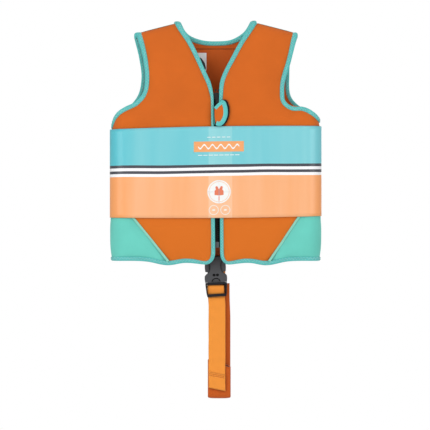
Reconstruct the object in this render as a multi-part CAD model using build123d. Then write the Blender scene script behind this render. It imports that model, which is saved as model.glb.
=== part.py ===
"""A child's neoprene swim vest, hanging as from a coat hanger, with its zip, safety tab, crotch strap and
display sleeve.

Millimetres. +Z is up, the front faces -Y, and +X is the wearer's left. The origin is the hanger seat: the
middle of the vest, level with the underside of the shoulders.
"""

import math
import os

from build123d import *

# ---- driving dimensions --------------------------------------------------------------------------
HALF_WIDTH = 156.0  # half the width across the sides
HALF_DEPTH = 26.0  # half the depth, front face to back face, of the flattened body
SIDE_RADIUS = 20.0  # how round the two sides are, seen from above
RIDGE_TOP = 36.0  # height that the shoulder ridge would have at the middle
SHOULDER_FALL = 0.258  # the ridge's fall per millimetre outwards
SHOULDER_RISE = 118.0  # height over which the front and back curve together into the ridge
HEM_Z = -334.0

OUTER = (0.0, 2.2)  # each layer is a pair of depths under the outer surface
FOAM = (2.5, 11.0)
LINING = (11.2, 12.6)
BINDING = (-0.3, 12.9)
FRONT_EDGE_BINDING = (-0.3, 6.4)  # shallower, so that the zip slider runs behind it
SEAM = (-0.4, 2.2)
BINDING_WIDTH = 7.4
FOAM_INSET = 22.0
FOAM_TOP_Z = -52.0
SEAM_WIDTH = 4.4

ZIP_Y = -HALF_DEPTH + 9.5  # middle plane of the zip chain
ZIP_TOP_Z = -84.0
ZIP_BOTTOM_Z = -306.0
TOOTH_PITCH = 3.1
TOOTH = (2.2, 2.4, 1.5)  # a tooth's reach across, depth and height
TOOTH_START = 0.5  # a slot this wide each side of the middle is left for the slider's wedge
TAPE = (13.0, 0.6)

SLEEVE_TOP_Z = -133.5
SLEEVE_BOTTOM_Z = -269.0
SLEEVE_CLEARANCE = 0.7
SLEEVE_CARD = 0.7

WEBBING = (25.0, 1.3)  # width and thickness of the strap webbing
STRAP_X = 0.0
BACK_STRAP_Y = 8.4  # the layer that runs down from the back hem
FRONT_STRAP_Y = 0.0  # the layer that runs up to the adjuster
FOLD_Z = -528.0  # centre of the strap's bottom fold
PAD_X = 3.3  # the comfort pad sits a little to one side of the webbing
PAD = (34.0, 5.4)
PAD_FRONT_TOP_Z = -483.0
PAD_BACK_TOP_Z = -366.0

BUCKLE_X = -1.0
BUCKLE_TILT = -3.0  # degrees that the hanging buckle leans
BUCKLE_DEPTH = 10.4
MOUTH_Z = -364.4  # line where the two buckle halves meet
BAR_DROP = 6.6  # adjuster bar under the mouth line
BAR_RADIUS = 1.5
FRAME_BOTTOM = 21.4  # adjuster frame's lower edge under the mouth line
STRAP_JOIN_Z = -352.4  # where the hanging strap meets its sewn root

FAR = 175.0  # outlines run out to here, past the sides
HIGH = 60.0  # and up to here, past the shoulders

# ---- outlines, as (x, z) points, in the front view -----------------------------------------------
NECK_EDGE = {
    "right": [(-86, 66), (-58.4, 21.4), (-40.7, -4.1), (-17.9, -50.6), (-8.5, -70.4), (-4.8, -88),
              (-4.4, -110)],
    "left": [(83, 66), (54.4, 21.6), (35.0, -6.6), (20.8, -32.7), (11.4, -50.6), (5.4, -66), (4.2, -90)],
}
ARM_EDGE_FRONT = {
    "right": [(-128, 60), (-117, 6.2), (-107.6, -35.5), (-105.7, -66), (-109, -84.3), (-118.3, -95.6),
              (-147.3, -112.2), (-175, -136)],
    "left": [(131, 60), (119.2, 2.8), (110.1, -32.8), (98.8, -81.7), (100.6, -96), (110, -103.6),
             (127.2, -104.8), (147.1, -116), (175, -136)],
}
ARM_EDGE_BACK = {
    "right": [(-140, 60), (-124.6, 4.2), (-115.5, -30), (-112, -62), (-117, -86), (-130, -103),
              (-149, -114), (-175, -136)],
    "left": [(131, 60), (119.2, 2.8), (109, -32), (107.2, -55), (111.6, -92), (126, -105), (148, -116),
             (175, -136)],
}
BACK_NECK = [(-86, 66), (-57.6, 20.6), (-43, 3), (-22, -5.2), (0, -6.6), (22, -4.2), (38, 4.5), (54, 21),
             (83, 66)]
HEM_WAVE = [(17, HEM_Z - 3.6), (48, HEM_Z - 1), (72, HEM_Z - 4.5), (104, HEM_Z + 1), (150, HEM_Z + 2),
            (175, HEM_Z + 2)]
FRONT_GAP = {"right": -3.0, "left": 3.4}  # x of each front edge just above the hem
CORNER_TOP_Z = HEM_Z + 13.0
SEAM_LINE = {"right": [(-160, -222), (-70, -336)], "left": [(160, -212), (75, -336)]}

SIGN = {"right": -1.0, "left": 1.0}


def save(name, shape):
    """Writes one node, as a group of its solids."""
    solids = shape.solids() if hasattr(shape, "solids") else ShapeList(shape)
    export_step(Compound(children=list(solids)) if len(solids) > 1 else solids[0], f"parts/{name}.step")


def inset(face, amount):
    """An outline drawn in by an amount, with its curves redrawn as plain splines."""
    edges = []
    for edge in offset(face, amount=-amount).face().outer_wire().order_edges():
        if edge.geom_type in (GeomType.LINE, GeomType.CIRCLE):
            edges.append(edge)
        else:
            count = max(2, round(edge.length / 9))
            points = [edge @ (n / count) for n in range(count + 1)]
            edges.append(Spline(*points, tangents=(edge % 0, edge % 1)))
    return Face(Wire(edges))


def outline_face(edges):
    """A face in the front plane from edges drawn in x and z."""
    return Plane.XZ * make_face(Wire(edges))


def front_outline(side):
    s = SIGN[side]
    neck, arm = NECK_EDGE[side], ARM_EDGE_FRONT[side]
    hem = [(s * x, z) for x, z in HEM_WAVE]
    corner = (FRONT_GAP[side], CORNER_TOP_Z)
    return outline_face([
        Line(arm[0], neck[0]),
        Spline(*neck),
        Line(neck[-1], corner),
        Spline(corner, hem[0], tangents=((0, -1), (s, 0))),
        Spline(*hem),
        Line(hem[-1], arm[-1]),
        Spline(*reversed(arm)),
    ])


def back_outline():
    left, right = ARM_EDGE_BACK["left"], ARM_EDGE_BACK["right"]
    hem = [(x, z) for x, z in HEM_WAVE]
    mirrored = [(-x, z) for x, z in reversed(HEM_WAVE)]
    return outline_face([
        Line(right[0], BACK_NECK[0]),
        Spline(*BACK_NECK),
        Line(BACK_NECK[-1], left[0]),
        Spline(*left),
        Line(left[-1], hem[-1]),
        Spline(*reversed(hem)),
        Line(hem[0], mirrored[-1]),
        Spline(*reversed(mirrored)),
        Line(mirrored[0], right[-1]),
        Spline(*reversed(right)),
    ])


def prism(face, front):
    """An outline pushed forwards, or backwards, from the middle plane."""
    return extrude(face, amount=HIGH if front else -HIGH)


def body_half(inset):
    """The wearer's-right half of the flattened body, as a solid that far inside the outer surface."""
    plan = RectangleRounded(2 * (HALF_WIDTH - inset), 2 * (HALF_DEPTH - inset), SIDE_RADIUS - inset)
    column = extrude(Plane.XY.offset(-400) * plan, amount=500)
    half_depth, rise = HALF_DEPTH - inset, SHOULDER_RISE - inset
    spring = RIDGE_TOP - SHOULDER_RISE  # height where the shoulder curve starts
    profile = make_face(Wire([
        Line((-half_depth, -400), (-half_depth, spring)),
        EllipticalCenterArc((0, spring), half_depth, rise, start_angle=0, arc_size=180),
        Line((half_depth, spring), (half_depth, -400)),
        Line((half_depth, -400), (-half_depth, -400)),
    ]))
    roof = extrude(Plane.YZ * profile, amount=FAR, dir=(-1, 0, -SHOULDER_FALL))
    return column & roof


BODY = {}


def layer(side, depths):
    """The wall between two depths under the outer surface, on one half."""
    for depth in depths:
        if ("right", depth) not in BODY:
            BODY["right", depth] = body_half(depth)
            BODY["left", depth] = mirror(BODY["right", depth], about=Plane.YZ)
    return BODY[side, depths[0]] - BODY[side, depths[1]]


def box(low, high):
    """An axis-aligned box between two corners."""
    size = [b - a for a, b in zip(low, high)]
    return Pos(*[(a + b) / 2 for a, b in zip(low, high)]) * Box(*size)


# ---- panels, foam and lining ---------------------------------------------------------------------
FRONT = {side: front_outline(side) for side in SIGN}
BACK = back_outline()
FRONT_INNER = {side: inset(FRONT[side], BINDING_WIDTH) for side in SIGN}
BACK_INNER = inset(BACK, BINDING_WIDTH)


def corner_region(side, shift):
    """Everything below and outside the diagonal side seam, moved outwards by shift."""
    (x0, z0), (x1, z1) = SEAM_LINE[side]
    length = math.hypot(x1 - x0, z1 - z0)
    s = SIGN[side]
    nx, nz = s * abs(z1 - z0) / length * shift, -abs(x1 - x0) / length * shift
    dx, dz = (x1 - x0) / length * 60, (z1 - z0) / length * 60
    along = [(x0 - dx + nx, z0 - dz + nz), (x1 + dx + nx, z1 + dz + nz)]
    points = [*along, (s * 260, z1 + dz - 60), (s * 260, z0)]
    face = Plane.XZ * make_face(Polyline(*points, close=True))
    return extrude(face, amount=HIGH, both=True)


def front_panel(side):
    skin = prism(FRONT_INNER[side], True) & layer(side, OUTER)
    return skin - corner_region(side, -SEAM_WIDTH / 2)


def side_panel(side):
    """The contrast panel: it wraps from the front, round the side, to the back."""
    region = corner_region(side, SEAM_WIDTH / 2) & layer(side, OUTER)
    front = prism(FRONT_INNER[side], True) & region
    back = prism(BACK_INNER, False) & region
    return front + back


def side_seam(side):
    """Flatlock thread band along the diagonal seam, front and back."""
    band = corner_region(side, -SEAM_WIDTH / 2) - corner_region(side, SEAM_WIDTH / 2)
    wall = layer(side, SEAM) & band
    return (prism(FRONT_INNER[side], True) & wall) + (prism(BACK_INNER, False) & wall)


def back_panel():
    inner = prism(BACK_INNER, False)
    skin = [inner & layer(side, OUTER) - corner_region(side, -SEAM_WIDTH / 2) for side in SIGN]
    return skin[0] + skin[1]


def lining(front, side=None):
    if front:
        return prism(FRONT_INNER[side], True) & layer(side, LINING)
    halves = [prism(BACK_INNER, False) & layer(side, LINING) for side in SIGN]
    return halves[0] + halves[1]


def foam(front, side=None):
    """Buoyancy slab between the skin and the lining, clear of the sewn edges and of the shoulders."""
    face = FRONT[side] if front else BACK
    inner = inset(face, FOAM_INSET)
    reach = HALF_WIDTH - SIDE_RADIUS
    y = (-HIGH, -2) if front else (2, HIGH)
    room = box((-reach, y[0], -400), (reach, y[1], FOAM_TOP_Z))
    sides = [side] if front else list(SIGN)
    slabs = [prism(inner, front) & layer(s, FOAM) & room for s in sides]
    return slabs[0] if front else slabs[0] + slabs[1]


# ---- binding tape --------------------------------------------------------------------------------
ARM_SPLIT_X = 84.0  # the armhole tapes lie outside this, the neck and front-edge tapes inside
HEM_TAPE_TOP_Z = HEM_Z + 10.5


def tape_wall(side, front, depths):
    face = (FRONT[side] - FRONT_INNER[side]) if front else (BACK - BACK_INNER)
    return prism(face, front) & layer(side, depths)


def bindings():
    """The bias tapes: one round each armhole, one from hem to hem round the neck, and one on the hem."""
    made = {"neck": [], "hem": []}
    for side, s in SIGN.items():
        whole = [tape_wall(side, True, BINDING), tape_wall(side, False, BINDING)]
        neck = [tape_wall(side, True, FRONT_EDGE_BINDING), whole[1]]
        x0, x1 = sorted((s * ARM_SPLIT_X, s * 200))
        outside = box((x0, -HIGH, -200), (x1, HIGH, HIGH))
        low = box((-200, -HIGH, -400), (200, HIGH, HEM_TAPE_TOP_Z))
        made[side] = [whole[0] & outside, whole[1] & outside]
        made["neck"] += [w - outside - low for w in neck]
        made["hem"] += [w & low for w in whole]
    return {key: sum(parts[1:], parts[0]) for key, parts in made.items()}


# ---- zip -----------------------------------------------------------------------------------------
def zip_tape(side):
    s = SIGN[side]
    x0, x1 = sorted((s * 1.5, s * (1.5 + TAPE[0])))
    return box((x0, ZIP_Y - TAPE[1] / 2, ZIP_BOTTOM_Z - 6), (x1, ZIP_Y + TAPE[1] / 2, ZIP_TOP_Z + 4))


def zip_teeth(side):
    """Moulded teeth clamped over the tape's edge; the two rows stand half a pitch apart."""
    s = SIGN[side]
    count = int((SLIDER_Z - 6 - ZIP_BOTTOM_Z) / TOOTH_PITCH)
    tooth = Box(*TOOTH) - Pos(s * 0.9, 0, 0) * Box(2.4, TAPE[1] + 0.02, TOOTH[2] + 1)
    first = ZIP_BOTTOM_Z + 3 + (TOOTH_PITCH / 2 if side == "left" else 0)
    x = s * (TOOTH_START + TOOTH[0] / 2)
    return [Pos(x, ZIP_Y, first + n * TOOTH_PITCH) * tooth for n in range(count)]


def zip_bottom_box():
    shell = box((-3.4, ZIP_Y - 2.1, ZIP_BOTTOM_Z - 7), (3.4, ZIP_Y + 2.1, ZIP_BOTTOM_Z + 1.5))
    slot = box((-4, ZIP_Y - 0.4, ZIP_BOTTOM_Z - 8), (4, ZIP_Y + 0.4, ZIP_BOTTOM_Z + 2))
    web = box((-1.2, ZIP_Y - 0.5, ZIP_BOTTOM_Z - 7), (1.2, ZIP_Y + 0.5, ZIP_BOTTOM_Z - 1))
    return fillet(shell.edges().filter_by(Axis.Z), 0.8) - slot + web


def zip_top_stops():
    stop = Box(2.0, 2.4, 3.0)
    slit = Box(2.0, TAPE[1] + 0.02, 4.0)
    return [Pos(s * 2.1, ZIP_Y, ZIP_TOP_Z + 4) * (stop - Pos(s * 0.3, 0, 0) * slit) for s in SIGN.values()]


SLIDER_Z = ZIP_TOP_Z - 4.6  # middle of the slider when the zip is shut
SLIDER = (9.6, 5.2, 10.5)  # width, depth and height


def zip_slider():
    """Two plates joined by the wedge that parts the teeth, with side flanges and a bridge for the pull."""
    w, d, h = SLIDER
    block = Pos(0, ZIP_Y, SLIDER_Z) * Box(w, d, h)
    block = fillet(block.edges().filter_by(Axis.Y), 1.6)
    channel = Pos(0, ZIP_Y, SLIDER_Z - 2) * Box(w - 1.8, 3.2, h + 4)
    wedge = Pos(0, ZIP_Y, SLIDER_Z + h / 2 - 2.2) * Box(0.6, 3.2, 4.0)
    slit = Pos(0, ZIP_Y, SLIDER_Z) * Box(w + 2, 1.4, h + 2)
    top = Pos(0, ZIP_Y, SLIDER_Z + h / 2) * Box(w - 1.8, 3.2, 6)
    bridge_y = ZIP_Y - d / 2 - 1.0
    bridge = Pos(0, bridge_y, SLIDER_Z) * Box(1.6, 2.2, 7.0)
    bridge -= Pos(0, bridge_y + 0.35, SLIDER_Z) * Box(3, 1.7, 4.4)
    return block - channel - slit - top + wedge + bridge


PULL_LENGTH = 12.6
PULL_HINGE = (0.0, ZIP_Y - SLIDER[1] / 2 - 0.65, SLIDER_Z - 1.2)


def zip_pull():
    """Flat puller that hangs from the bridge by a round bar: two cheeks, a stem and a pierced grip."""
    _, y, z = PULL_HINGE
    blade = box((-2.2, y - 0.55, z - PULL_LENGTH), (2.2, y + 0.55, z))
    blade = fillet(blade.edges().filter_by(Axis.Y).sort_by(Axis.Z)[:2], 0.9)
    eye = box((-1.15, y - 1, z - 3.4), (1.15, y + 1, z + 1))
    hole = Pos(0, y, z - PULL_LENGTH + 3) * Rot(90, 0, 0) * Cylinder(1.1, 4)
    shaft = Pos(0, y, z) * Rot(0, 90, 0)
    cheeks = shaft * Cylinder(0.55, 4.4) - eye
    return blade - eye - hole + cheeks + shaft * Cylinder(0.5, 2.6)


# ---- safety tab over the top of the zip ----------------------------------------------------------
TAB_Y = (-31.5, -28.7)  # the closed tab's front and back faces
TAB_HINGE = (-3.5, -28.9)
HOOK_Y = (-28.7, -27.9)
LOOP_Y = (-27.6, -26.4)
TAB_CORNERS = [(-2.4, -131.6), (-2.4, -103.4), (7.6, -95.0), (13.2, -98.2), (15.9, -110.4), (13.4, -124.0),
               (7.0, -132.4)]
LOOP_CORNERS = [(3.6, -132.4), (3.6, -96.0), (11.6, -94.0), (16.2, -98.4), (18.2, -110.4), (15.8, -124.6),
                (9.6, -132.8)]


def tab_outline():
    return Polygon(*TAB_CORNERS, align=None)


def tab_face(amount):
    """The tab's outline drawn in by an amount, with its free corners rounded."""
    face = offset(tab_outline(), amount=-amount) if amount else tab_outline()
    free = face.vertices().filter_by(lambda v: v.X > 0)
    return fillet(free, 4.5 - amount)


def plate(face, y_front, y_back):
    """A front-plane outline as a plate between two depths."""
    return extrude(Plane.XZ.offset(-y_back) * face, amount=y_back - y_front, dir=(0, -1, 0))


def closure_tab():
    return plate(tab_face(3.6), TAB_Y[0] + 0.3, TAB_Y[1])


def closure_tab_binding():
    return plate(tab_face(0) - tab_face(3.6), *TAB_Y)


def closure_hook_pad():
    return plate(tab_face(4.0), *HOOK_Y)


def closure_tab_root():
    """The tab's sewn end, standing on edge in the gap beside the wearer's-right front edge."""
    return box((-3.9, -28.4, -130.5), (-3.2, -20.0, -106.0))


def closure_loop_patch():
    """The soft half of the fastener, sewn on the wearer's-left front under the tab."""
    face = Polygon(*LOOP_CORNERS, align=None)
    return plate(fillet(face.vertices(), 2.4), *LOOP_Y)


# ---- display sleeve ------------------------------------------------------------------------------
def sleeve_ring(inner_gap, outer_gap, low, high):
    rings = []
    for gap in (inner_gap, outer_gap):
        rings.append(RectangleRounded(2 * (HALF_WIDTH + gap), 2 * (HALF_DEPTH + gap), SIDE_RADIUS + gap))
    return extrude(Plane.XY.offset(low) * (rings[1] - rings[0]), amount=high - low)


def sleeve_wrap():
    gap = SLEEVE_CLEARANCE
    return sleeve_ring(gap, gap + SLEEVE_CARD, SLEEVE_BOTTOM_Z, SLEEVE_TOP_Z)


def sleeve_glue_flap():
    """The card's other end, glued over the first down the middle of the back."""
    back = HALF_DEPTH + SLEEVE_CLEARANCE + SLEEVE_CARD
    return box((-15.0, back, SLEEVE_BOTTOM_Z), (15.0, back + SLEEVE_CARD, SLEEVE_TOP_Z))


# ---- buckle, drawn about the middle of its mouth line --------------------------------------------
BAR_Z = MOUTH_Z - BAR_DROP
BUCKLE_PLACE = Pos(BUCKLE_X, 0, BAR_Z) * Rot(0, BUCKLE_TILT, 0) * Pos(0, 0, BAR_DROP)
SOCKET_OUTLINE = [(16.2, 0), (16.8, 5.6), (16.5, 9.6), (15.2, 11.2)]  # right half, from the mouth up
SOCKET_WAIST = [(9.4, 14.6), (7.6, 22), (9.0, 30.5), (13.4, 35)]
BACK_WAIST = [(11.2, 14.6), (10.8, 22), (11.2, 30.5), (13.4, 35)]
SOCKET_END = [(13.4, 35), (14.6, 36.4), (14.6, 45.5)]
SOCKET_DEPTH = 36.5
TAB_SLOT = (39.0, 42.4)
ARM_PIVOT = (8.6, -1.0)  # x and z of a latch arm's root


def flipped(points):
    """The same points on the other side, in the other order."""
    return [(-x, z) for x, z in reversed(points)]


def socket_face(waist):
    """The socket's outline, drawn in between its mouth and its webbing end."""
    mouth = [*SOCKET_OUTLINE, waist[0]]
    return make_face(Wire([
        *Polyline(*mouth).edges(),
        Spline(*waist),
        *Polyline(*SOCKET_END).edges(),
        Line(SOCKET_END[-1], flipped(SOCKET_END)[0]),
        *Polyline(*flipped(SOCKET_END)).edges(),
        Spline(*flipped(waist)),
        *Polyline(*flipped(mouth)).edges(),
        Line(flipped(mouth)[-1], mouth[0]),
    ]))


def buckle_female():
    """Socket half: a flat sleeve, cut away at the sides for the latch arms, with a webbing bar on top.

    The back wall is wider at the waist than the front one, and lies behind the arms.
    """
    front = -BUCKLE_DEPTH / 2
    body = plate(socket_face(SOCKET_WAIST), front, 3.2) + plate(socket_face(BACK_WAIST), 3.2, -front)
    socket = box((-13.6, -3.2, -1), (13.6, 3.2, SOCKET_DEPTH))
    slot = box((-13.2, -6, TAB_SLOT[0]), (13.2, 6, TAB_SLOT[1]))
    thinned = box((-13.2, 1.1, 37.6), (13.2, 6, 50)) + box((-13.2, -6, 37.6), (13.2, -1.1, 50))
    thumb = Pos(0, -0.5) * Circle(7.0) & Pos(0, 5.9) * Rectangle(20, 10)
    body = body - socket - slot - thinned - plate(thumb, front - 1, front + 1.5)
    for s in SIGN.values():
        body -= Pos(s * 2.5, front, 10.7) * Rot(90, 0, 0) * Cylinder(1.25, 6)
    return body


def latch_arm(side):
    """Springy arm with a thumb grip that bulges out of the socket's window behind a square catch."""
    s = SIGN[side]
    inner = [(7.4, -0.9), (8.2, 12), (8.6, 24), (9.4, 33)]
    outer = [(12.2, 33.4), (15.0, 28), (15.7, 21), (15.2, 15.8)]
    catch = [(15.2, 15.8), (12.2, 15.4), (10.4, 12), (10.0, -0.9), (7.4, -0.9)]
    edges = [
        Spline(*[(s * x, z) for x, z in inner]),
        Line((s * inner[-1][0], inner[-1][1]), (s * outer[0][0], outer[0][1])),
        Spline(*[(s * x, z) for x, z in outer]),
        *Polyline(*[(s * x, z) for x, z in catch]).edges(),
    ]
    return plate(make_face(Wire(edges)), -2.8, 2.8)


def buckle_male():
    """Plug half: the adjuster frame, with a guide tongue that enters the socket."""
    right = [(15.8, -0.4), (16.1, -3), (15.6, -10), (15.0, -17), (14.0, -FRAME_BOTTOM)]
    front = -BUCKLE_DEPTH / 2
    body = plate(make_face(Polyline(*right, *flipped(right), close=True)), front, 4.6)
    window = box((-13.6, -8, -FRAME_BOTTOM + 4.2), (13.6, 8, -3.4))
    behind = box((-30, 1.8, -60), (30, 20, -3.4))
    groove = box((-13.6, -1.7, -FRAME_BOTTOM - 5), (13.6, 8, -FRAME_BOTTOM + 5))
    tongue = box((-4.2, -2.8, -0.5), (4.2, 2.8, 30.0))
    body = body - window - behind - groove + tongue
    for s in SIGN.values():
        body -= box((s * ARM_PIVOT[0] - 2, -3.1, -1.5), (s * ARM_PIVOT[0] + 2, 3.1, 1))
    return body


def adjuster_bar():
    """The bar that the webbing doubles over: it rests level in the leaning frame."""
    return Pos(BUCKLE_X, 0, BAR_Z) * Rot(0, 90, 0) * Cylinder(BAR_RADIUS, 27.2)


# ---- webbing -------------------------------------------------------------------------------------
def ribbon(path, width, thickness, x):
    """Webbing of one width and thickness along a path in the side view, centred at x."""
    face = trace(path, line_width=thickness)
    return extrude(Plane.YZ.offset(x - width / 2) * face, amount=width)


def side_path(points, radii):
    return FilletPolyline(*points, radius=radii)


WRAP = BAR_RADIUS + 0.1 + WEBBING[1] / 2  # webbing's middle, from the bar's axis
UNDER_FRAME_Z = MOUTH_Z - FRAME_BOTTOM - 1.2


def crotch_strap_path():
    """From behind the buckle, down, round the bottom fold, up behind the adjuster and over its bar."""
    back, front = BACK_STRAP_Y, FRONT_STRAP_Y
    radius = (back - front) / 2
    return Wire([
        Line((back, STRAP_JOIN_Z - 0.4), (back, FOLD_Z)),
        ThreePointArc((back, FOLD_Z), (back - radius, FOLD_Z - radius), (front, FOLD_Z)),
        Line((front, FOLD_Z), (front + 0.1, -470)),
        Line((front + 0.1, -470), (1.2, UNDER_FRAME_Z + 4)),
        Line((1.2, UNDER_FRAME_Z + 4), (WRAP, BAR_Z)),
        ThreePointArc((WRAP, BAR_Z), (0, BAR_Z + WRAP), (-WRAP, BAR_Z)),
        Line((-WRAP, BAR_Z), (-0.85, UNDER_FRAME_Z + 5)),
        Line((-0.85, UNDER_FRAME_Z + 5), (-0.85, UNDER_FRAME_Z)),
    ])


def pad_path():
    back, front = BACK_STRAP_Y, FRONT_STRAP_Y
    radius = (back - front) / 2
    return Wire([
        Line((back, PAD_BACK_TOP_Z), (back, FOLD_Z)),
        ThreePointArc((back, FOLD_Z), (back - radius, FOLD_Z - radius), (front, FOLD_Z)),
        Line((front, FOLD_Z), (front, PAD_FRONT_TOP_Z)),
    ])


def comfort_pad():
    """Neoprene tube round the webbing, folded with it."""
    tube = ribbon(pad_path(), PAD[0], PAD[1], PAD_X)
    bore = ribbon(pad_path(), WEBBING[0] + 1.6, WEBBING[1] + 0.6, STRAP_X + 0.2)
    return tube - bore


TAIL_END_Z = -521.0
TAIL_FOLD = 21.0  # length of the tail's turned-back hem
TAIL_HINGE = (-0.85, UNDER_FRAME_Z - 1.4)


def strap_tail():
    """The free end, hanging in front of the strap."""
    y, z = TAIL_HINGE
    path = Wire([Line((y, z + 0.7), (y - 0.1, z - 6)), Line((y - 0.1, z - 6), (-4.3, -470)),
                 Line((-4.3, -470), (-4.3, TAIL_END_Z + TAIL_FOLD))])
    return ribbon(path, *WEBBING, STRAP_X)


def strap_tail_hem():
    """The turned-back end of the webbing, twice as thick."""
    path = Wire([Line((-4.3, TAIL_END_Z + TAIL_FOLD - 0.1), (-4.3, TAIL_END_Z))])
    return ribbon(path, WEBBING[0], 2 * WEBBING[1], STRAP_X)


def back_strap_root():
    """Webbing end sewn inside the back hem."""
    inside = HALF_DEPTH - LINING[1] - 0.8
    points = [(inside, -290), (inside, -322), (BACK_STRAP_Y, -342), (BACK_STRAP_Y, STRAP_JOIN_Z)]
    return ribbon(side_path(points, [14, 14]), *WEBBING, STRAP_X)


def female_webbing_tab():
    """Short webbing from inside the front hem round the socket's bar, drawn about the mouth line."""
    inside = -(HALF_DEPTH - LINING[1] - 0.8)
    low = TAB_SLOT[0] + 1.2
    front = side_path([(inside, 84), (inside, 66), (-1.9, 49), (-1.9, low)], [8, 8])
    turn = Line((-2.5, low), (2.5, low))
    tail = Line((1.9, low), (1.9, 50))
    loops = [ribbon(path, 24.0, WEBBING[1], 0) for path in (front, turn, tail)]
    return loops[0] + loops[1] + loops[2]


def anchor_patch(front):
    """Reinforcement sewn over the webbing's end on the lining."""
    y = HALF_DEPTH - LINING[1] - 0.8 - WEBBING[1] / 2 - 0.1
    x, z, height = (BUCKLE_X, -278.5, 13) if front else (STRAP_X, -300.0, 20)
    faces = (-y, -y + 0.9) if front else (y - 0.9, y)
    return plate(Pos(x, z) * RectangleRounded(34, height, 3), *faces)


# ---- labels --------------------------------------------------------------------------------------
def neck_label():
    face = Plane.XZ * (Pos(-23.7, -36.7) * RectangleRounded(16, 27, 0.8))
    return prism(face, False) & layer("right", (LINING[1] + 0.1, LINING[1] + 0.5))


def main():
    os.makedirs("parts", exist_ok=True)
    nodes = {}
    for side in SIGN:
        nodes[f"front_panel_{side}"] = front_panel(side)
        nodes[f"front_lining_{side}"] = lining(True, side)
        nodes[f"front_foam_{side}"] = foam(True, side)
        nodes[f"side_panel_{side}"] = side_panel(side)
        nodes[f"side_seam_{side}"] = side_seam(side)
        nodes[f"zip_tape_{side}"] = zip_tape(side)
        nodes[f"zip_teeth_{side}"] = Compound(children=zip_teeth(side))
        nodes[f"latch_arm_{side}"] = BUCKLE_PLACE * latch_arm(side)
    tapes = bindings()
    nodes.update({
        "back_panel": back_panel(),
        "back_lining": lining(False),
        "back_foam": foam(False),
        "neck_binding": tapes["neck"],
        "hem_binding": tapes["hem"],
        "armhole_binding_right": tapes["right"],
        "armhole_binding_left": tapes["left"],
        "zip_bottom_box": zip_bottom_box(),
        "zip_top_stops": Compound(children=zip_top_stops()),
        "zip_slider": zip_slider(),
        "zip_pull": zip_pull(),
        "closure_tab": closure_tab(),
        "closure_tab_binding": closure_tab_binding(),
        "closure_tab_root": closure_tab_root(),
        "closure_hook_pad": closure_hook_pad(),
        "closure_loop_patch": closure_loop_patch(),
        "sleeve_wrap": sleeve_wrap(),
        "sleeve_glue_flap": sleeve_glue_flap(),
        "buckle_female": BUCKLE_PLACE * buckle_female(),
        "buckle_male": BUCKLE_PLACE * buckle_male(),
        "adjuster_bar": adjuster_bar(),
        "crotch_strap": ribbon(crotch_strap_path(), *WEBBING, STRAP_X),
        "comfort_pad": comfort_pad(),
        "strap_tail": strap_tail(),
        "strap_tail_hem": strap_tail_hem(),
        "back_strap_root": back_strap_root(),
        "female_webbing_tab": BUCKLE_PLACE * female_webbing_tab(),
        "front_anchor_patch": anchor_patch(True),
        "back_anchor_patch": anchor_patch(False),
        "neck_label": neck_label(),
    })
    for name, shape in nodes.items():
        save(name, shape)


main()
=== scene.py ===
"""How the swim vest looks: padded neoprene with bound edges, a printed card sleeve, webbing, buckle, zip.

Lengths are in millimetres until a mesh is made. Places on the body are (u, z) pairs: u is the distance
round it from the middle line, positive on the wearer's left, and z is the height in the front view.
"""

import math

import bmesh
import bpy
import numpy as np
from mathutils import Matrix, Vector, noise


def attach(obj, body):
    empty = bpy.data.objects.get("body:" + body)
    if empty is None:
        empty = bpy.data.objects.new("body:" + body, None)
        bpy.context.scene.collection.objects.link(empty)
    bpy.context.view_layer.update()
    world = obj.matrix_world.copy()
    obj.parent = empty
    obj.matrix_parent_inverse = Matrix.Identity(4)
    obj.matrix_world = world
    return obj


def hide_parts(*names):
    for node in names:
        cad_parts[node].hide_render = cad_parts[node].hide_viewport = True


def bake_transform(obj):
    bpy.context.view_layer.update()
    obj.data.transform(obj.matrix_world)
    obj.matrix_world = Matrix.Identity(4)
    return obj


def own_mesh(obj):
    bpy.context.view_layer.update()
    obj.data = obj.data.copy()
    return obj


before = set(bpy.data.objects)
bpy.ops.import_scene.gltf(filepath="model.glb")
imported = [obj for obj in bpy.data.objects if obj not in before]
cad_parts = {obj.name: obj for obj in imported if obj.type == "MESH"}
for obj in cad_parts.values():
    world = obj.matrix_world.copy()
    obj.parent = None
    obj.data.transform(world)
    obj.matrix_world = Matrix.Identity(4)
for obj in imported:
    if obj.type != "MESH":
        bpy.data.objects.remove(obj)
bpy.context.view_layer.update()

# ---- the body, as in the solid model -------------------------------------------------------------
HALF_WIDTH, HALF_DEPTH, SIDE_RADIUS = 156.0, 26.0, 20.0
RIDGE_TOP, SHOULDER_FALL, SHOULDER_RISE = 36.0, 0.258, 118.0
SPRING = RIDGE_TOP - SHOULDER_RISE
FLAT = HALF_WIDTH - SIDE_RADIUS
SIDE_U = FLAT + SIDE_RADIUS * math.pi / 2 + HALF_DEPTH - SIDE_RADIUS
HEM_Z = -334.0
CORNER_HEIGHT = 13.0  # of the rounded corner between a front edge and the hem
SLEEVE_TOP, SLEEVE_BOTTOM = -133.5, -269.0
FRONT, BACK = -1.0, 1.0

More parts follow.
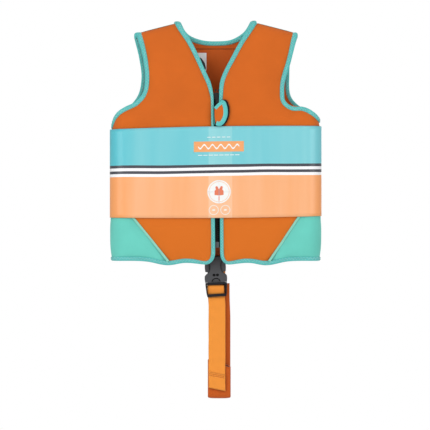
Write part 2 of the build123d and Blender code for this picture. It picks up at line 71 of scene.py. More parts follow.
NECK = {
    "right": [(-58.4, 20.9), (-40.7, -4.1), (-17.9, -50.6), (-9.2, -70.4), (-5.9, -88), (-4.9, -112)],
    "left": [(54.6, 21.9), (35.0, -6.6), (20.8, -32.7), (11.4, -50.6), (5.4, -66), (3.6, -90), (3.6, -112)],
}
BACK_NECK = [(-58.4, 20.9), (-43, 3), (-22, -5.2), (0, -6.6), (22, -4.2), (38, 4.5), (54.6, 21.9)]
ARM_FRONT = {
    "right": [(-119.0, 5.3), (-108.6, -35.5), (-106.2, -66), (-109.5, -84.3), (-118.3, -95.6),
              (-136, -105.2), (-147, -111.0), (-156, -118.5), (-164, -127.5), (-SIDE_U, -132.5)],
    "left": [(119.2, 5.2), (110.1, -32.8), (98.8, -81.7), (100.6, -96), (110, -103.6), (127.2, -104.8),
             (148.5, -113.6), (160, -119.5), (SIDE_U, -122.5)],
}
ARM_BACK = {
    "right": [(-122.4, 4.4), (-120.2, -8), (-115.5, -30), (-112, -62), (-117, -86), (-130, -103),
              (-150, -116), (-162, -127), (-SIDE_U, -132.5)],
    "left": [(119.2, 5.2), (114.0, -15), (109, -32), (107.2, -55), (111.6, -92), (126, -105),
             (149, -115), (160, -120.5), (SIDE_U, -122.5)],
}
GAP = {"right": -3.3, "left": 5.2}
HEM = [(17, -337.6), (48, -335), (72, -338.5), (104, -333), (150, -332), (SIDE_U, -332)]
SEAM = {"right": [(-160, -222), (-70, -336)], "left": [(160, -212), (75, -336)]}
SIGN = {"right": -1.0, "left": 1.0}


def hang(x, z):
    """The vest hangs a little to one side below the arms."""
    x, z = np.asarray(x, float), np.asarray(z, float)
    return -2.0 * np.clip((np.abs(x) - 95) / 55, 0, 1) * np.clip((-95 - z) / 30, 0, 1)


def place(u, z, depth, face):
    """Points that far under the outer surface, on the front or the back, level with z in the front view."""
    u, z, depth = np.broadcast_arrays(np.asarray(u, float), np.asarray(z, float), np.asarray(depth, float))
    around = np.abs(u)
    turn = np.clip((around - FLAT) / SIDE_RADIUS, 0, math.pi / 2)
    radius = SIDE_RADIUS - depth
    x = np.sign(u) * np.where(around < FLAT, around, FLAT + radius * np.sin(turn))
    bend = HALF_DEPTH - SIDE_RADIUS + radius * np.cos(turn)
    y = np.where(around < FLAT + SIDE_RADIUS * math.pi / 2, bend, SIDE_U - around)
    fall = SHOULDER_FALL * np.minimum(around, HALF_WIDTH)
    level = z
    for _ in range(3):
        rise = np.clip((level + fall - SPRING) / SHOULDER_RISE, 0, 1)
        level = z + depth * rise
    top = RIDGE_TOP - fall - depth
    return np.stack([x + hang(x, z), face * y * np.sqrt(1 - rise**2), np.minimum(z, top)], axis=-1)


# ---- curves --------------------------------------------------------------------------------------
def measured(points):
    """Distance along a run, at each of its points."""
    return np.r_[0, np.cumsum(np.linalg.norm(np.diff(points, axis=0), axis=1))]


def picked(values, known, wanted):
    """Rows of values, known at some distances along a run, at other distances."""
    return np.stack([np.interp(wanted, known, column) for column in values.T], axis=1)


def unit(vectors):
    """The same directions, each one unit long."""
    return vectors / np.maximum(np.linalg.norm(vectors, axis=-1, keepdims=True), 1e-6)


def resample(points, count):
    """Evenly spaced points along a polyline."""
    points = np.asarray(points, float)
    length = measured(points)
    return picked(points, length, np.linspace(0, length[-1], count))


def through(points, count):
    """Evenly spaced points along a smooth curve through the given ones."""
    p = np.asarray(points, float)
    chord = measured(p)
    slope = np.gradient(p, chord, axis=0)
    fine = np.linspace(0, chord[-1], 40 * len(p))
    i = np.clip(np.searchsorted(chord, fine, side="right") - 1, 0, len(p) - 2)
    h = (chord[i + 1] - chord[i])[:, None]
    s = ((fine - chord[i]) / (chord[i + 1] - chord[i]))[:, None]
    q = ((2 * s**3 - 3 * s**2 + 1) * p[i] + (s**3 - 2 * s**2 + s) * h * slope[i]
         + (3 * s**2 - 2 * s**3) * p[i + 1] + (s**3 - s**2) * h * slope[i + 1])
    return resample(q, count)


def chain(*parts):
    """Runs of points joined end to end."""
    return np.concatenate([parts[0]] + [part[1:] for part in parts[1:]])


def corner_arc(side, first, last, count):
    """Part of the rounded corner between a front edge and the hem; first and last run from 0 to 1."""
    x_zip, x_hem = GAP[side], SIGN[side] * HEM[0][0]
    z_zip, z_hem = HEM_Z + CORNER_HEIGHT, HEM[0][1]
    turn = np.linspace(first, last, count) * math.pi / 2
    return np.stack([x_hem + (x_zip - x_hem) * np.cos(turn), z_zip + (z_hem - z_zip) * np.sin(turn)], axis=1)


def front_edge(side, count_neck, count_zip):
    """From the shoulder down the neck and the zip to the start of the bottom corner."""
    end = (GAP[side], HEM_Z + CORNER_HEIGHT)
    return chain(through(NECK[side], count_neck), resample([NECK[side][-1], end], count_zip))


def hem_edge(side, count):
    """The wavy hem, from the bottom corner to the side."""
    return through([(SIGN[side] * u, z) for u, z in HEM], count)


# ---- meshes --------------------------------------------------------------------------------------
def make(name, points, faces, material, uvs=None):
    """An object from points in millimetres."""
    mesh = bpy.data.meshes.new(name)
    mesh.from_pydata((np.asarray(points, float) * 0.001).tolist(), [], [list(f) for f in faces])
    if uvs is not None:
        layer = mesh.uv_layers.new(name="UVMap")
        corner = np.array([uvs[loop.vertex_index] for loop in mesh.loops])
        layer.data.foreach_set("uv", corner.ravel())
    mesh.validate()
    mesh.shade_smooth()
    mesh.materials.append(material)
    made = bpy.data.objects.new(name, mesh)
    bpy.context.scene.collection.objects.link(made)
    return made


def grid_faces(rows, columns, closed=False, wrapped=False, base=0):
    """Quads over a grid of points; closed joins the last column to the first, and wrapped the last row."""
    quads = []
    for r in range(rows if wrapped else rows - 1):
        here, below = base + r * columns, base + (r + 1) % rows * columns
        for c in range(columns if closed else columns - 1):
            d = (c + 1) % columns
            quads.append((here + c, here + d, below + d, below + c))
    return quads


def tube_faces(rows, columns, base=0):
    """Quads round a tube of points, and a face over each of its ends."""
    ends = (base, base + (rows - 1) * columns)
    caps = [tuple(range(first, first + columns)) for first in ends]
    return grid_faces(rows, columns, closed=True, base=base) + caps


def recalculate(made):
    """The same object, with all its faces pointing outwards."""
    bm = bmesh.new()
    bm.from_mesh(made.data)
    bmesh.ops.recalc_face_normals(bm, faces=bm.faces[:])
    bm.to_mesh(made.data)
    bm.free()
    return made


def coons(top, bottom, start, end):
    """A grid that fills four edges: top and bottom run from the start edge to the end edge."""
    s = np.linspace(0, 1, len(top))[None, :, None]
    t = np.linspace(0, 1, len(start))[:, None, None]
    ruled = (1 - s) * start[:, None] + s * end[:, None] + (1 - t) * top[None] + t * bottom[None]
    corners = (1 - t) * ((1 - s) * top[0] + s * top[-1]) + t * ((1 - s) * bottom[0] + s * bottom[-1])
    return ruled - corners


def distance_to(points, edge):
    """Each point's distance from a run of edge points."""
    flat = points.reshape(-1, 2)
    nearest = np.full(len(flat), 1e9)
    for part in np.array_split(np.asarray(edge), 12):
        gap = np.linalg.norm(flat[:, None] - part[None], axis=2).min(axis=1)
        nearest = np.minimum(nearest, gap)
    return nearest.reshape(points.shape[:-1])


def seam_distance(points):
    """Distance from the diagonal side seam, for points in (u, z); below it is negative."""
    x = np.minimum(np.abs(points[..., 0]), HALF_WIDTH)
    out = np.zeros(points.shape[:-1])
    for side, s in SIGN.items():
        (x0, z0), (x1, z1) = SEAM[side]
        along = unit(np.array([abs(x1) - abs(x0), z1 - z0]))
        gap = (x - abs(x0)) * along[1] - (points[..., 1] - z0) * along[0]
        out = np.where(points[..., 0] * s > 0, gap, out)
    return out


# ---- soft surfaces -------------------------------------------------------------------------------
WELD_GAP = 0.00002  # metres; points closer than this become one
BACK_SEED, FRONT_SEED, BACK_LINING_SEED, FRONT_LINING_SEED = 5.0, 11.0, 8.0, 3.0  # of each cloth's noise
PUFF = 3.3  # how far the padded cloth stands out between its seams
PULL = 2.9  # how far it is drawn in at a bound edge
SEAM_DIP = 1.7


def near(distance, spread, power=2):
    """1 at no distance, falling smoothly to 0 over the spread."""
    return np.exp(-((distance / spread) ** power))


def wobble(points, scale, seed):
    """Smooth noise from -1 to 1 over (u, z)."""
    flat = points.reshape(-1, 2)
    values = [noise.noise(Vector((u / scale, z / scale, seed))) for u, z in flat]
    return np.array(values).reshape(points.shape[:-1]) * 2


def step(value, low, high):
    """Smooth change from 0 at the low value to 1 at the high one."""
    t = np.clip((value - low) / (high - low), 0, 1)
    return t * t * (3 - 2 * t)


def under_sleeve(z):
    """1 where the card sleeve presses on the vest, 0 well away from it."""
    return step(z, SLEEVE_BOTTOM - 16, SLEEVE_BOTTOM + 2) * (1 - step(z, SLEEVE_TOP - 2, SLEEVE_TOP + 16))


def beside_zip(u, z):
    """1 along the zip, 0 up the neck and out along the hem."""
    return step(-z, 66, 96) * (1 - step(np.abs(u), 22, 40))


def skin_depth(points, edges, seed):
    """The outer fabric: pulled down at its edges and seams, puffed between them, flat under the card."""
    u, z = points[..., 0], points[..., 1]
    out = np.abs(u)
    from_edge = distance_to(points, edges)
    from_seam = np.abs(seam_distance(points))
    from_ridge = RIDGE_TOP - SHOULDER_FALL * out - z
    at_side = step(out, FLAT - 10, FLAT + 20)
    at_zip = beside_zip(u, z)

    loose = (1 - step(out, SIDE_U - 16, SIDE_U)) * (1 - near(from_ridge, 20))
    pucker = loose * near(from_edge, 13, 1) * 0.55 * wobble(points, 13, seed + 3)
    sag = loose * (0.9 * wobble(points, 70, seed) + 0.35 * wobble(points, 26, seed + 7))
    puff = PUFF * (1 - near(from_edge, 19)) * (1 - near(from_seam, 14)) * (1 - near(from_ridge, 60))
    roll = np.maximum(from_edge - 5.6 + 1.8 * at_zip, 0)
    pull = PULL * near(roll, 9 - 4.5 * at_zip, 1.2) * (1 - 0.85 * near(from_ridge, 14))
    pull = pull * (1 - 0.4 * at_side * step(-z, 270, 300))
    by_tab = 1.5 * near(out - 20, 15) * near(z + 112, 24)
    free = (1 - under_sleeve(z)) * (1 - 0.8 * at_side)
    return (pull + SEAM_DIP * near(from_seam, 5) + pucker + 0.25 * under_sleeve(z)
            + free * (sag * (1 - near(from_edge, 20, 1)) + by_tab - puff))


def lining_depth(points, edges, seed):
    """The lining, drawn towards the outer fabric at its edges."""
    from_edge = distance_to(points, edges)
    sag = 0.5 * wobble(points, 40, seed) * (1 - near(from_edge, 20, 1))
    return 12.6 - 5.0 * near(from_edge, 12, 1.3) - sag


def front_grid(side):
    """The pattern of one front, from the zip edge to the side and from the shoulder to the hem."""
    arm = through(ARM_FRONT[side], 60)
    side_line = resample([ARM_FRONT[side][-1], (SIGN[side] * SIDE_U, HEM[-1][1])], 68)
    outer = chain(arm, side_line)
    inner = chain(front_edge(side, 52, 70), corner_arc(side, 0, 0.5, 7))
    inner = resample(inner, len(outer))
    bottom = resample(chain(corner_arc(side, 0.5, 1, 6), hem_edge(side, 60)), 56)
    top = resample([inner[0], outer[0]], 56)
    return coons(top, bottom, inner, outer)


def back_grid():
    """The pattern of the back, from side to side and from the neck to the hem."""
    sides = {}
    for side, s in SIGN.items():
        side_line = resample([ARM_BACK[side][-1], (s * SIDE_U, HEM[-1][1])], 68)
        sides[side] = chain(through(ARM_BACK[side], 50), side_line)
    right = resample([ARM_BACK["right"][0], BACK_NECK[0]], 22)
    left = resample([BACK_NECK[-1], ARM_BACK["left"][0]], 22)
    top = chain(right, through(BACK_NECK, 60), left)
    bottom = resample(chain(hem_edge("right", 90)[::-1], hem_edge("left", 90)), len(top))
    return coons(top, bottom, sides["right"], sides["left"])


EDGES = {side: chain(front_edge(side, 120, 120), corner_arc(side, 0, 1, 14), hem_edge(side, 140))
         for side in SIGN}
ARMS = {side: through(ARM_FRONT[side], 150) for side in SIGN}
BACK_EDGES = np.concatenate([through(BACK_NECK, 120)] + [through(ARM_BACK[side], 150) for side in SIGN]
                            + [hem_edge(side, 140) for side in SIGN])


def shell(name, grid, depth, face, material):
    """A fabric surface over a pattern grid, facing outwards."""
    points = place(grid[..., 0], grid[..., 1], depth, face).reshape(-1, 3)
    quads = grid_faces(*grid.shape[:2])
    made = make(name, points, quads, material)
    if made.data.polygons[len(quads) // 2].normal.y * face < 0:
        made.data.flip_normals()
    return made


def cut(source, side, keep_below, name):
    """The part of a surface above or below the diagonal side seam."""
    made = source.copy()
    made.data = source.data.copy()
    made.name = name
    made.data.name = name
    bpy.context.scene.collection.objects.link(made)
    (x0, z0), (x1, z1) = SEAM[side]
    normal = Vector((z1 - z0, 0, x0 - x1)).normalized()
    if normal.z < 0:
        normal = -normal
    bm = bmesh.new()
    bm.from_mesh(made.data)
    everything = bm.verts[:] + bm.edges[:] + bm.faces[:]
    bmesh.ops.bisect_plane(bm, geom=everything, plane_co=Vector((x0, 0, z0)) * 0.001, plane_no=normal,
                           clear_outer=keep_below, clear_inner=not keep_below)
    bm.to_mesh(made.data)
    bm.free()
    return made


def join(name, pieces):
    """Several meshes as one object."""
    bm = bmesh.new()
    for piece in pieces:
        bm.from_mesh(piece.data)
    bmesh.ops.remove_doubles(bm, verts=bm.verts[:], dist=WELD_GAP)
    mesh = bpy.data.meshes.new(name)
    bm.to_mesh(mesh)
    bm.free()
    mesh.shade_smooth()
    mesh.materials.append(pieces[0].data.materials[0])
    for piece in pieces:
        bpy.data.objects.remove(piece)
    made = bpy.data.objects.new(name, mesh)
    bpy.context.scene.collection.objects.link(made)
    return made


# ---- edge tapes ----------------------------------------------------------------------------------
def edge_path(*runs):
    """Frames along a bound edge. Each run is (points in u and z, face, turn to inwards, depths)."""
    rim, inward, outward = [], [], []
    for points, face, turn, depths in runs:
        u, z = points.T
        along = unit(np.gradient(points, axis=0))
        inside = points + turn * np.stack([-along[:, 1], along[:, 0]], axis=1) * 1.5
        here = place(u, z, depths, face)
        inward.append(place(inside[:, 0], inside[:, 1], depths, face) - here)
        off_cloth = place(u, z, depths - 3, face) - here
        on_ridge = near(here[:, 1], 6) * (z > -20)
        off_cloth[:, 2] += 8 * on_ridge
        here[:, 2] += np.where(np.abs(u) < 80, NECK_LIFT, ARM_LIFT) * on_ridge
        rim.append(here)
        outward.append(off_cloth)
    return tuple(np.concatenate(part) for part in (rim, inward, outward))


def even_path(path, closed):
    """The same frames at an even spacing, with the sharp turns over the shoulders eased."""
    rim, inward, outward = (np.concatenate([part, part[:1]]) if closed else part for part in path)
    length = measured(rim)
    even = np.linspace(0, length[-1], int(length[-1] / FRAME_PITCH))[:-1 if closed else None]
    rim, inward, outward = (picked(part, length, even) for part in (rim, inward, outward))
    return smoothed(rim, 6, closed), smoothed(inward, 12, closed), smoothed(outward, 12, closed)


def frames(rim, inward, outward, closed):
    """Unit vectors inwards and outwards at each point of an edge."""
    if closed:
        along = unit(np.roll(rim, -1, axis=0) - np.roll(rim, 1, axis=0))
    else:
        along = unit(np.gradient(rim, axis=0))
    up = unit(outward - (outward * along).sum(1)[:, None] * along)
    into = np.cross(along, up)
    return into * np.sign((into * inward).sum(1))[:, None], up


def smoothed(values, passes, closed):
    """Neighbour averaging along a run of vectors."""
    for _ in range(passes):
        before, after = np.roll(values, 1, axis=0), np.roll(values, -1, axis=0)
        if not closed:
            before[0], after[-1] = 2 * values[0] - values[1], 2 * values[-1] - values[-2]
        values = (before + 2 * values + after) / 4
    return values


SECTION = 18  # points round a tape's section
FRAME_PITCH = 1.1
STITCH_PITCH = 2.2
TAPE_REACH = 3.45  # half of the tape's width across the fabric
TAPE_OVERHANG = 0.6  # how far the tape stands past the raw edge
NECK_LIFT, ARM_LIFT = 2.2, 1.6  # how far the tapes stand over the shoulder ridge
RIDGE_REACH, RIDGE_OVERHANG, RIDGE_HALF = 1.3, 1.1, 1.0  # how much larger each is on the ridge
SQUARENESS = 0.62  # of the tape's section: 1 is an ellipse, and less is squarer


def tape_reach(rim):
    """Half the width of tape that shows: the puffed fronts roll over it beside the zip."""
    x, y, z = rim.T
    narrow = beside_zip(x, z) * (y < -8)
    slim = np.where(x < 0, 2.25 + 0.85 * step(-z, 150, 260), 2.75)
    return TAPE_REACH + (slim - TAPE_REACH) * narrow + RIDGE_REACH * on_shoulder(rim, 9)


def on_shoulder(rim, spread):
    """1 on the shoulder ridge, falling to 0 over this many millimetres in front and behind."""
    return near(rim[:, 1], spread) * (rim[:, 2] > -25)


def pill(turn, reach, half):
    """A point of a rounded flat section."""
    c, s = np.cos(turn), np.sin(turn)
    return reach * np.sign(c) * np.abs(c) ** SQUARENESS, half * np.sign(s) * np.abs(s) ** SQUARENESS


def folded(rim, into, up, reach, half, overhang, rib):
    """Points of the folded tape's section all along an edge, with their UVs."""
    turn = 2 * math.pi * np.arange(SECTION) / SECTION
    across, over = pill(turn[None], reach[:, None], half[:, None])
    across = across + (reach - overhang)[:, None]
    points = rim[:, None] + into[:, None] * across[..., None] + up[:, None] * over[..., None]
    uvs = [(along * 0.001, k * rib) for along in measured(rim) for k in range(SECTION)]
    return list(points.reshape(-1, 3)), uvs


def tape(name, path, half_at, closed):
    """Folded tape over an edge, with a zigzag of stitches along its middle on both faces."""
    rim, inward, outward = even_path(path, closed)
    half = half_at(rim) + RIDGE_HALF * on_shoulder(rim, 7)
    reach = tape_reach(rim)
    overhang = TAPE_OVERHANG + RIDGE_OVERHANG * on_shoulder(rim, 9)
    into, up = frames(rim, inward, outward, closed)
    length = measured(rim)
    ripple = np.array([1 + 0.035 * noise.noise(Vector((along / 7, half[0], 1.0))) for along in length])
    points, uvs = folded(rim, into, up, reach, half * ripple, overhang, 0.0012)
    faces = grid_faces(len(rim), SECTION, closed=True, wrapped=closed)
    if not closed:
        for first in (0, (len(rim) - 1) * SECTION):
            faces.append(tuple(range(len(points), len(points) + SECTION)))
            points += points[first:first + SECTION]
            uvs += uvs[first:first + SECTION]
    made = recalculate(make(name, points, faces, BINDING, uvs))

    count = int(length[-1] / STITCH_PITCH)
    even = np.linspace(0, length[-1], count)
    middle, sideways, raised = (picked(part, length, even) for part in (rim, into, up))
    wide = np.interp(even, length, reach)
    across = np.where(np.arange(count) % 2, 0.58, -0.38) * wide
    height = np.interp(even, length, half) * (1 - (np.abs(across) / wide) ** 3.2) ** 0.31 + 0.1
    shift = wide - np.interp(even, length, overhang) + across
    runs = [middle + sideways * shift[:, None] + raised * (height * way)[:, None] for way in (1, -1)]
    zigzag(name + "_stitches", runs, THREAD, made)
    return made


def zigzag(name, runs, material, parent, radius=0.44, strands=4):
    """Cover stitch: thread laid from side to side of a tape, as one mesh that goes with the tape."""
    points, faces = [], []
    for run in runs:
        along = unit(np.gradient(run, axis=0))
        side = unit(np.cross(along, (0.31, 0.8, 0.51)))
        up = np.cross(side, along)
        faces += grid_faces(strands, len(run), wrapped=True, base=len(points))
        for k in range(strands):
            turn = 2 * math.pi * k / strands
            points += list(run + (side * math.cos(turn) + up * math.sin(turn)) * radius)
    made = make(name, points, faces, material)
    made.parent = parent
    return made


def stitches(name, runs, material, parent, pitch, length, radius):
    """Short thread capsules along runs of points, as one mesh that goes with its tape."""
    points, faces = [], []
    for run in runs:
        knots = resample(run, max(3, int(measured(run)[-1] / pitch) + 1))
        for a, b in zip(knots[:-1], knots[1:]):
            along = unit(b - a)
            side = unit(np.cross(along, (0.3, 0.8, 0.52)))
            up = np.cross(side, along)
            faces += grid_faces(4, 5, closed=True, base=len(points))
            for t, r in ((0, 0.25), (0.18, 1), (0.82, 1), (1, 0.25)):
                centre = a + along * length * t
                for turn in 2 * math.pi * np.arange(5) / 5:
                    points.append(centre + (side * math.cos(turn) + up * math.sin(turn)) * radius * r)
    made = make(name, points, faces, material)
    made.parent = parent
    return made


# ---- materials -----------------------------------------------------------------------------------
def srgb(r, g, b):
    """A display colour as the shader's linear one."""
    linear = [c / 255 / 12.92 if c <= 10 else ((c / 255 + 0.055) / 1.055) ** 2.4 for c in (r, g, b)]
    return (*linear, 1.0)


def tone(colour, factor):
    """A darker or lighter version of a colour."""
    return tuple(min(1, c * factor) for c in colour[:3]) + (1.0,)


class Paint:
    """A material and the nodes that drive its shader; what goes in is a plain value or a node's output."""

    def __init__(self, name, roughness, sheen=0.0, coat=0.0, specular=0.5):
        self.material = bpy.data.materials.new(name)
        self.material.use_nodes = True
        self.tree = self.material.node_tree
        self.shader = self.tree.nodes["Principled BSDF"]
        for key, value in (("Roughness", roughness), ("Sheen Weight", sheen), ("Sheen Roughness", 0.4),
                           ("Coat Weight", coat), ("Coat Roughness", 0.22), ("Specular IOR Level", specular)):
            self.shader.inputs[key].default_value = value

    def feed(self, socket, value):
        """Sets a socket's value, or joins it to a node's output."""
        if isinstance(value, bpy.types.NodeSocket):
            self.tree.links.new(value, socket)
        else:
            socket.default_value = value

    def node(self, kind, **inputs):
        made = self.tree.nodes.new("ShaderNode" + kind)
        for key, value in inputs.items():
            self.feed(made.inputs[key], value)
        return made

    def apply(self, operation, a, b=0.0, clamp=False):
        """The result of a sum on one or two numbers."""
        made = self.node("Math")
        made.operation = operation
        made.use_clamp = clamp
        self.feed(made.inputs[0], a)
        self.feed(made.inputs[1], b)
        return made.outputs[0]

    def add(self, a, b, clamp=False):
        return self.apply("ADD", a, b, clamp)

    def less(self, a, b, clamp=False):
        return self.apply("SUBTRACT", a, b, clamp)

    def times(self, a, b, clamp=False):
        return self.apply("MULTIPLY", a, b, clamp)

    def below(self, a, level):
        return self.apply("LESS_THAN", a, level)

    def waves(self, a):
        return self.apply("SINE", a)

    def cloud(self, where, scale, detail):
        return self.node("TexNoise", Vector=where, Scale=scale, Detail=detail).outputs[0]

    def mix(self, factor, a, b):
        made = self.node("Mix")
        made.data_type = "RGBA"
        for index, value in ((0, factor), (6, a), (7, b)):
            self.feed(made.inputs[index], value)
        return made.outputs[2]

    def place(self):
        """The piece's own place in metres, as a vector and as its x and z."""
        where = self.node("TexCoord").outputs["Object"]
        parts = self.node("SeparateXYZ", Vector=where).outputs
        return where, parts[0], parts[2]

    def painted_crease_shade(self, colour, dark, distance):
        """Painted shade: the colour turns to the dark one in creases and gaps narrower than the distance, by
        ambient occlusion.
        """
        made = self.node("AmbientOcclusion", Distance=distance)
        made.samples = 8
        return self.mix(made.outputs["AO"], dark, colour)

    def finish(self, colour, height, strength, distance):
        """Sets the colour and the relief, and hands over the material."""
        self.feed(self.shader.inputs["Base Color"], colour)
        relief = self.node("Bump", Height=height, Strength=strength, Distance=distance)
        self.feed(self.shader.inputs["Normal"], relief.outputs[0])
        return self.material


def fabric(name, colour, grain, depth, roughness=0.82, sheen=0.25, low=None):
    """Knit-faced cloth: fine wales and courses and a cloudy colour, with painted shade in its creases and
    gaps, and painted light low down: another colour there if given.
    """
    paint = Paint(name, roughness, sheen, specular=0.3)
    where, x, z = paint.place()
    wales = paint.waves(paint.times(x, 2 * math.pi / grain))
    courses = paint.waves(paint.times(z, 2 * math.pi / (grain * 1.3)))
    fuzz = paint.cloud(where, 1.6 / grain, 3.0)
    body = paint.mix(paint.cloud(where, 22.0, 4.0), tone(colour, 0.88), tone(colour, 1.12))
    # Painted light: from 0.14 m below the origin to 0.28 m the colour turns to the low one, as if the lamps
    # lit the lower vest more.
    if low:
        down = paint.times(paint.add(z, 0.14), -7.0, clamp=True)
        body = paint.mix(down, body, low)
    tint = paint.mix(paint.times(fuzz, 0.22), body, tone(colour, 0.88))
    height = paint.add(paint.times(wales, courses), fuzz)
    # Painted shade: creases and gaps darken to under half the colour.
    return paint.finish(paint.painted_crease_shade(tint, tone(colour, 0.45), 0.006), height, 0.35, depth)


def ribbed(name, colour, rib, roughness=0.75, sheen=0.3, specular=0.35):
    """Tape and webbing: ribs along the UV's length, with a finer twill across them, and painted shade in the
    rib valleys, creases and gaps.
    """
    paint = Paint(name, roughness, sheen, specular=specular)
    uv = paint.node("TexCoord").outputs["UV"]
    part = paint.node("SeparateXYZ", Vector=uv).outputs
    along = paint.times(part[0], 2 * math.pi / rib)
    across = paint.times(part[1], 2 * math.pi / (rib * 1.4))
    height = paint.add(paint.waves(along), paint.times(paint.waves(paint.add(along, across)), 0.6))
    dark = tone(colour, 0.8)
    body = paint.mix(paint.times(paint.cloud(uv, 90.0, 3.0), 0.55), colour, dark)
    # Painted shade: the colour darkens in the rib valleys, and more in creases and gaps.
    rib_valley_shade = paint.times(paint.less(1.0, height), 0.2, clamp=True)
    tint = paint.painted_crease_shade(paint.mix(rib_valley_shade, body, dark), tone(colour, 0.4), 0.003)
    return paint.finish(tint, height, 0.5, rib * 0.12)


def moulded(name, colour, roughness, specular=0.5):
    """Injection-moulded plastic with a fine spark-eroded grain, softly worn gloss, and near-black painted
    shade in its recesses and gaps.
    """
    paint = Paint(name, roughness, specular=specular)
    where = paint.place()[0]
    worn = paint.cloud(where, 120.0, 4.0)
    gloss = paint.add(paint.times(worn, 0.18), roughness - 0.09)
    paint.feed(paint.shader.inputs["Roughness"], gloss)
    # Painted shade: recesses and gaps narrower than 3.5 mm go near black.
    tint = paint.painted_crease_shade(paint.mix(worn, colour, tone(colour, 1.35)), (0.002, 0.002, 0.002, 1.0), 0.0035)
    return paint.finish(tint, paint.cloud(where, 1 / 0.0006, 2.0), 0.25, 0.0001)


# The orange's low colour is painted light: brighter low on the vest, where the lamps would light it more.
ORANGE = fabric("orange_neoprene", srgb(211, 101, 22), 0.0009, 0.00006, low=srgb(219, 112, 24))
TEAL = fabric("teal_neoprene", srgb(108, 208, 193), 0.0009, 0.00006)
LINING = fabric("lining_knit", srgb(200, 88, 22), 0.0011, 0.00008)
FOAM = fabric("buoyancy_foam", srgb(232, 232, 226), 0.0018, 0.0001, roughness=0.9, sheen=0.0)
DARK_ORANGE = fabric("comfort_neoprene", srgb(198, 90, 22), 0.0009, 0.00007)
# Near-black brown for the inside of the comfort pad: painted shade inside its open mouths.
PAD_MOUTH_SHADE = fabric("comfort_pad_mouth_shade", srgb(92, 36, 10), 0.0011, 0.00008)
PATCH = fabric("anchor_cloth", srgb(190, 88, 28), 0.0014, 0.0001)
FUZZ = fabric("hook_and_loop", srgb(26, 26, 28), 0.0006, 0.0003, roughness=0.95, sheen=0.4)
BINDING = ribbed("binding_knit", srgb(96, 204, 200), 0.0016)
THREAD = ribbed("stitch_thread", srgb(178, 240, 238), 0.0004)
SEAM_THREAD = ribbed("flatlock_thread", srgb(146, 222, 200), 0.0011)
WEB = ribbed("strap_webbing", srgb(255, 156, 52), 0.0016, roughness=0.62)
# A darker copy of the strap webbing for the socket tab: painted shade, for the shadow under the hem.
SHADED_TAB_WEB = ribbed("socket_tab_webbing_shaded", srgb(184, 84, 30), 0.0016, roughness=0.62)
LINING_THREAD = ribbed("lining_thread", srgb(104, 46, 16), 0.0004)
WEB_THREAD = ribbed("webbing_thread", srgb(204, 92, 20), 0.0004)
ZIP_TAPE = ribbed("zip_tape", srgb(8, 8, 9), 0.0009, sheen=0.02, specular=0.06)
PLASTIC = moulded("buckle_plastic", srgb(66, 66, 69), 0.42, specular=0.38)
# Near-black plastic laid in the buckle's recesses and holes: painted shade.
RECESS_SHADE = moulded("recess_painted_shade", srgb(6, 6, 7), 0.8, specular=0.06)
FRAME_PLASTIC = moulded("adjuster_plastic", srgb(28, 28, 30), 0.35, specular=0.25)
ZIP_PLASTIC = moulded("zip_plastic", srgb(20, 20, 21), 0.45)
BOX_PLASTIC = moulded("zip_box_plastic", srgb(96, 96, 101), 0.35)


def card_print():
    """Varnished card: a blue field, two dark stripes on white, and a peach field, by height, with painted
    sheen.
    """
    paint = Paint("printed_card", 0.42, coat=0.22)
    where, x, z = paint.place()
    # The paler blue and peach are painted reflection: the varnish's sheen laid into the colour.
    blue, sheen_blue = srgb(88, 195, 208), srgb(146, 214, 220)
    peach, sheen_peach = srgb(248, 164, 98), srgb(252, 200, 160)
    dark, white = srgb(66, 67, 76), srgb(250, 250, 252)

    drift = paint.times(paint.less(paint.cloud(where, 9.0, 1.0), 0.5), 0.003)
    level = paint.add(paint.less(z, paint.times(x, 0.0130)), drift)
    stretched = paint.node("CombineXYZ", X=paint.times(x, 34.0), Z=paint.times(z, 3.0)).outputs[0]
    # Painted reflection: streaks, a strip down the middle and the right-hand side turn the blue and peach
    # paler; streaks and strip give out towards the edges.
    from_middle = paint.apply("ABSOLUTE", paint.less(x, 0.005))
    strip = paint.times(paint.below(from_middle, 0.0175), 0.45)
    side = paint.less(paint.times(from_middle, 20.0), 2.5, clamp=True)
    painted_sheen = paint.add(paint.times(paint.cloud(stretched, 1.0, 3.0), 0.75), strip, clamp=True)
    painted_sheen = paint.less(painted_sheen, side, clamp=True)
    right = paint.times(paint.less(x, 0.02), 2.6, clamp=True)

    colour = paint.mix(paint.add(painted_sheen, right, clamp=True), blue, sheen_blue)
    stripes = ((-0.1899, dark), (-0.1941, white), (-0.1985, dark), (-0.2027, white))
    for top, field in stripes + ((-0.2070, paint.mix(painted_sheen, peach, sheen_peach)),):
        colour = paint.mix(paint.below(level, top), colour, field)
    height = paint.add(paint.times(paint.cloud(where, 700.0, 2.0), 0.03), paint.cloud(where, 14.0, 1.0))
    return paint.finish(colour, height, 0.3, 0.0012)


def ink(name, colour):
    """Print on the card: flat colour under varnish with a faint paper tooth."""
    paint = Paint(name, 0.34, coat=0.4)
    tooth = paint.cloud(paint.place()[0], 900.0, 2.0)
    return paint.finish(paint.mix(tooth, colour, tone(colour, 0.93)), tooth, 0.15, 0.00005)


CARD = card_print()
WHITE_INK = ink("white_ink", srgb(250, 250, 248))
PEACH_INK = ink("peach_ink", srgb(249, 170, 108))
BLACK_INK = ink("black_ink", srgb(30, 30, 34))
CORAL_INK = ink("coral_ink", srgb(235, 126, 92))
BLUE_INK = ink("blue_ink", srgb(150, 170, 190))
LABEL = ribbed("label_satin", srgb(255, 255, 255), 0.0005, roughness=0.5)


# ---- the vest ------------------------------------------------------------------------------------
def ride(piece, body, slot, *nodes):
    """Puts a piece on a body, in the place of CAD nodes."""
    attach(piece, body)
    if nodes:
        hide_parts(*nodes)
    return piece


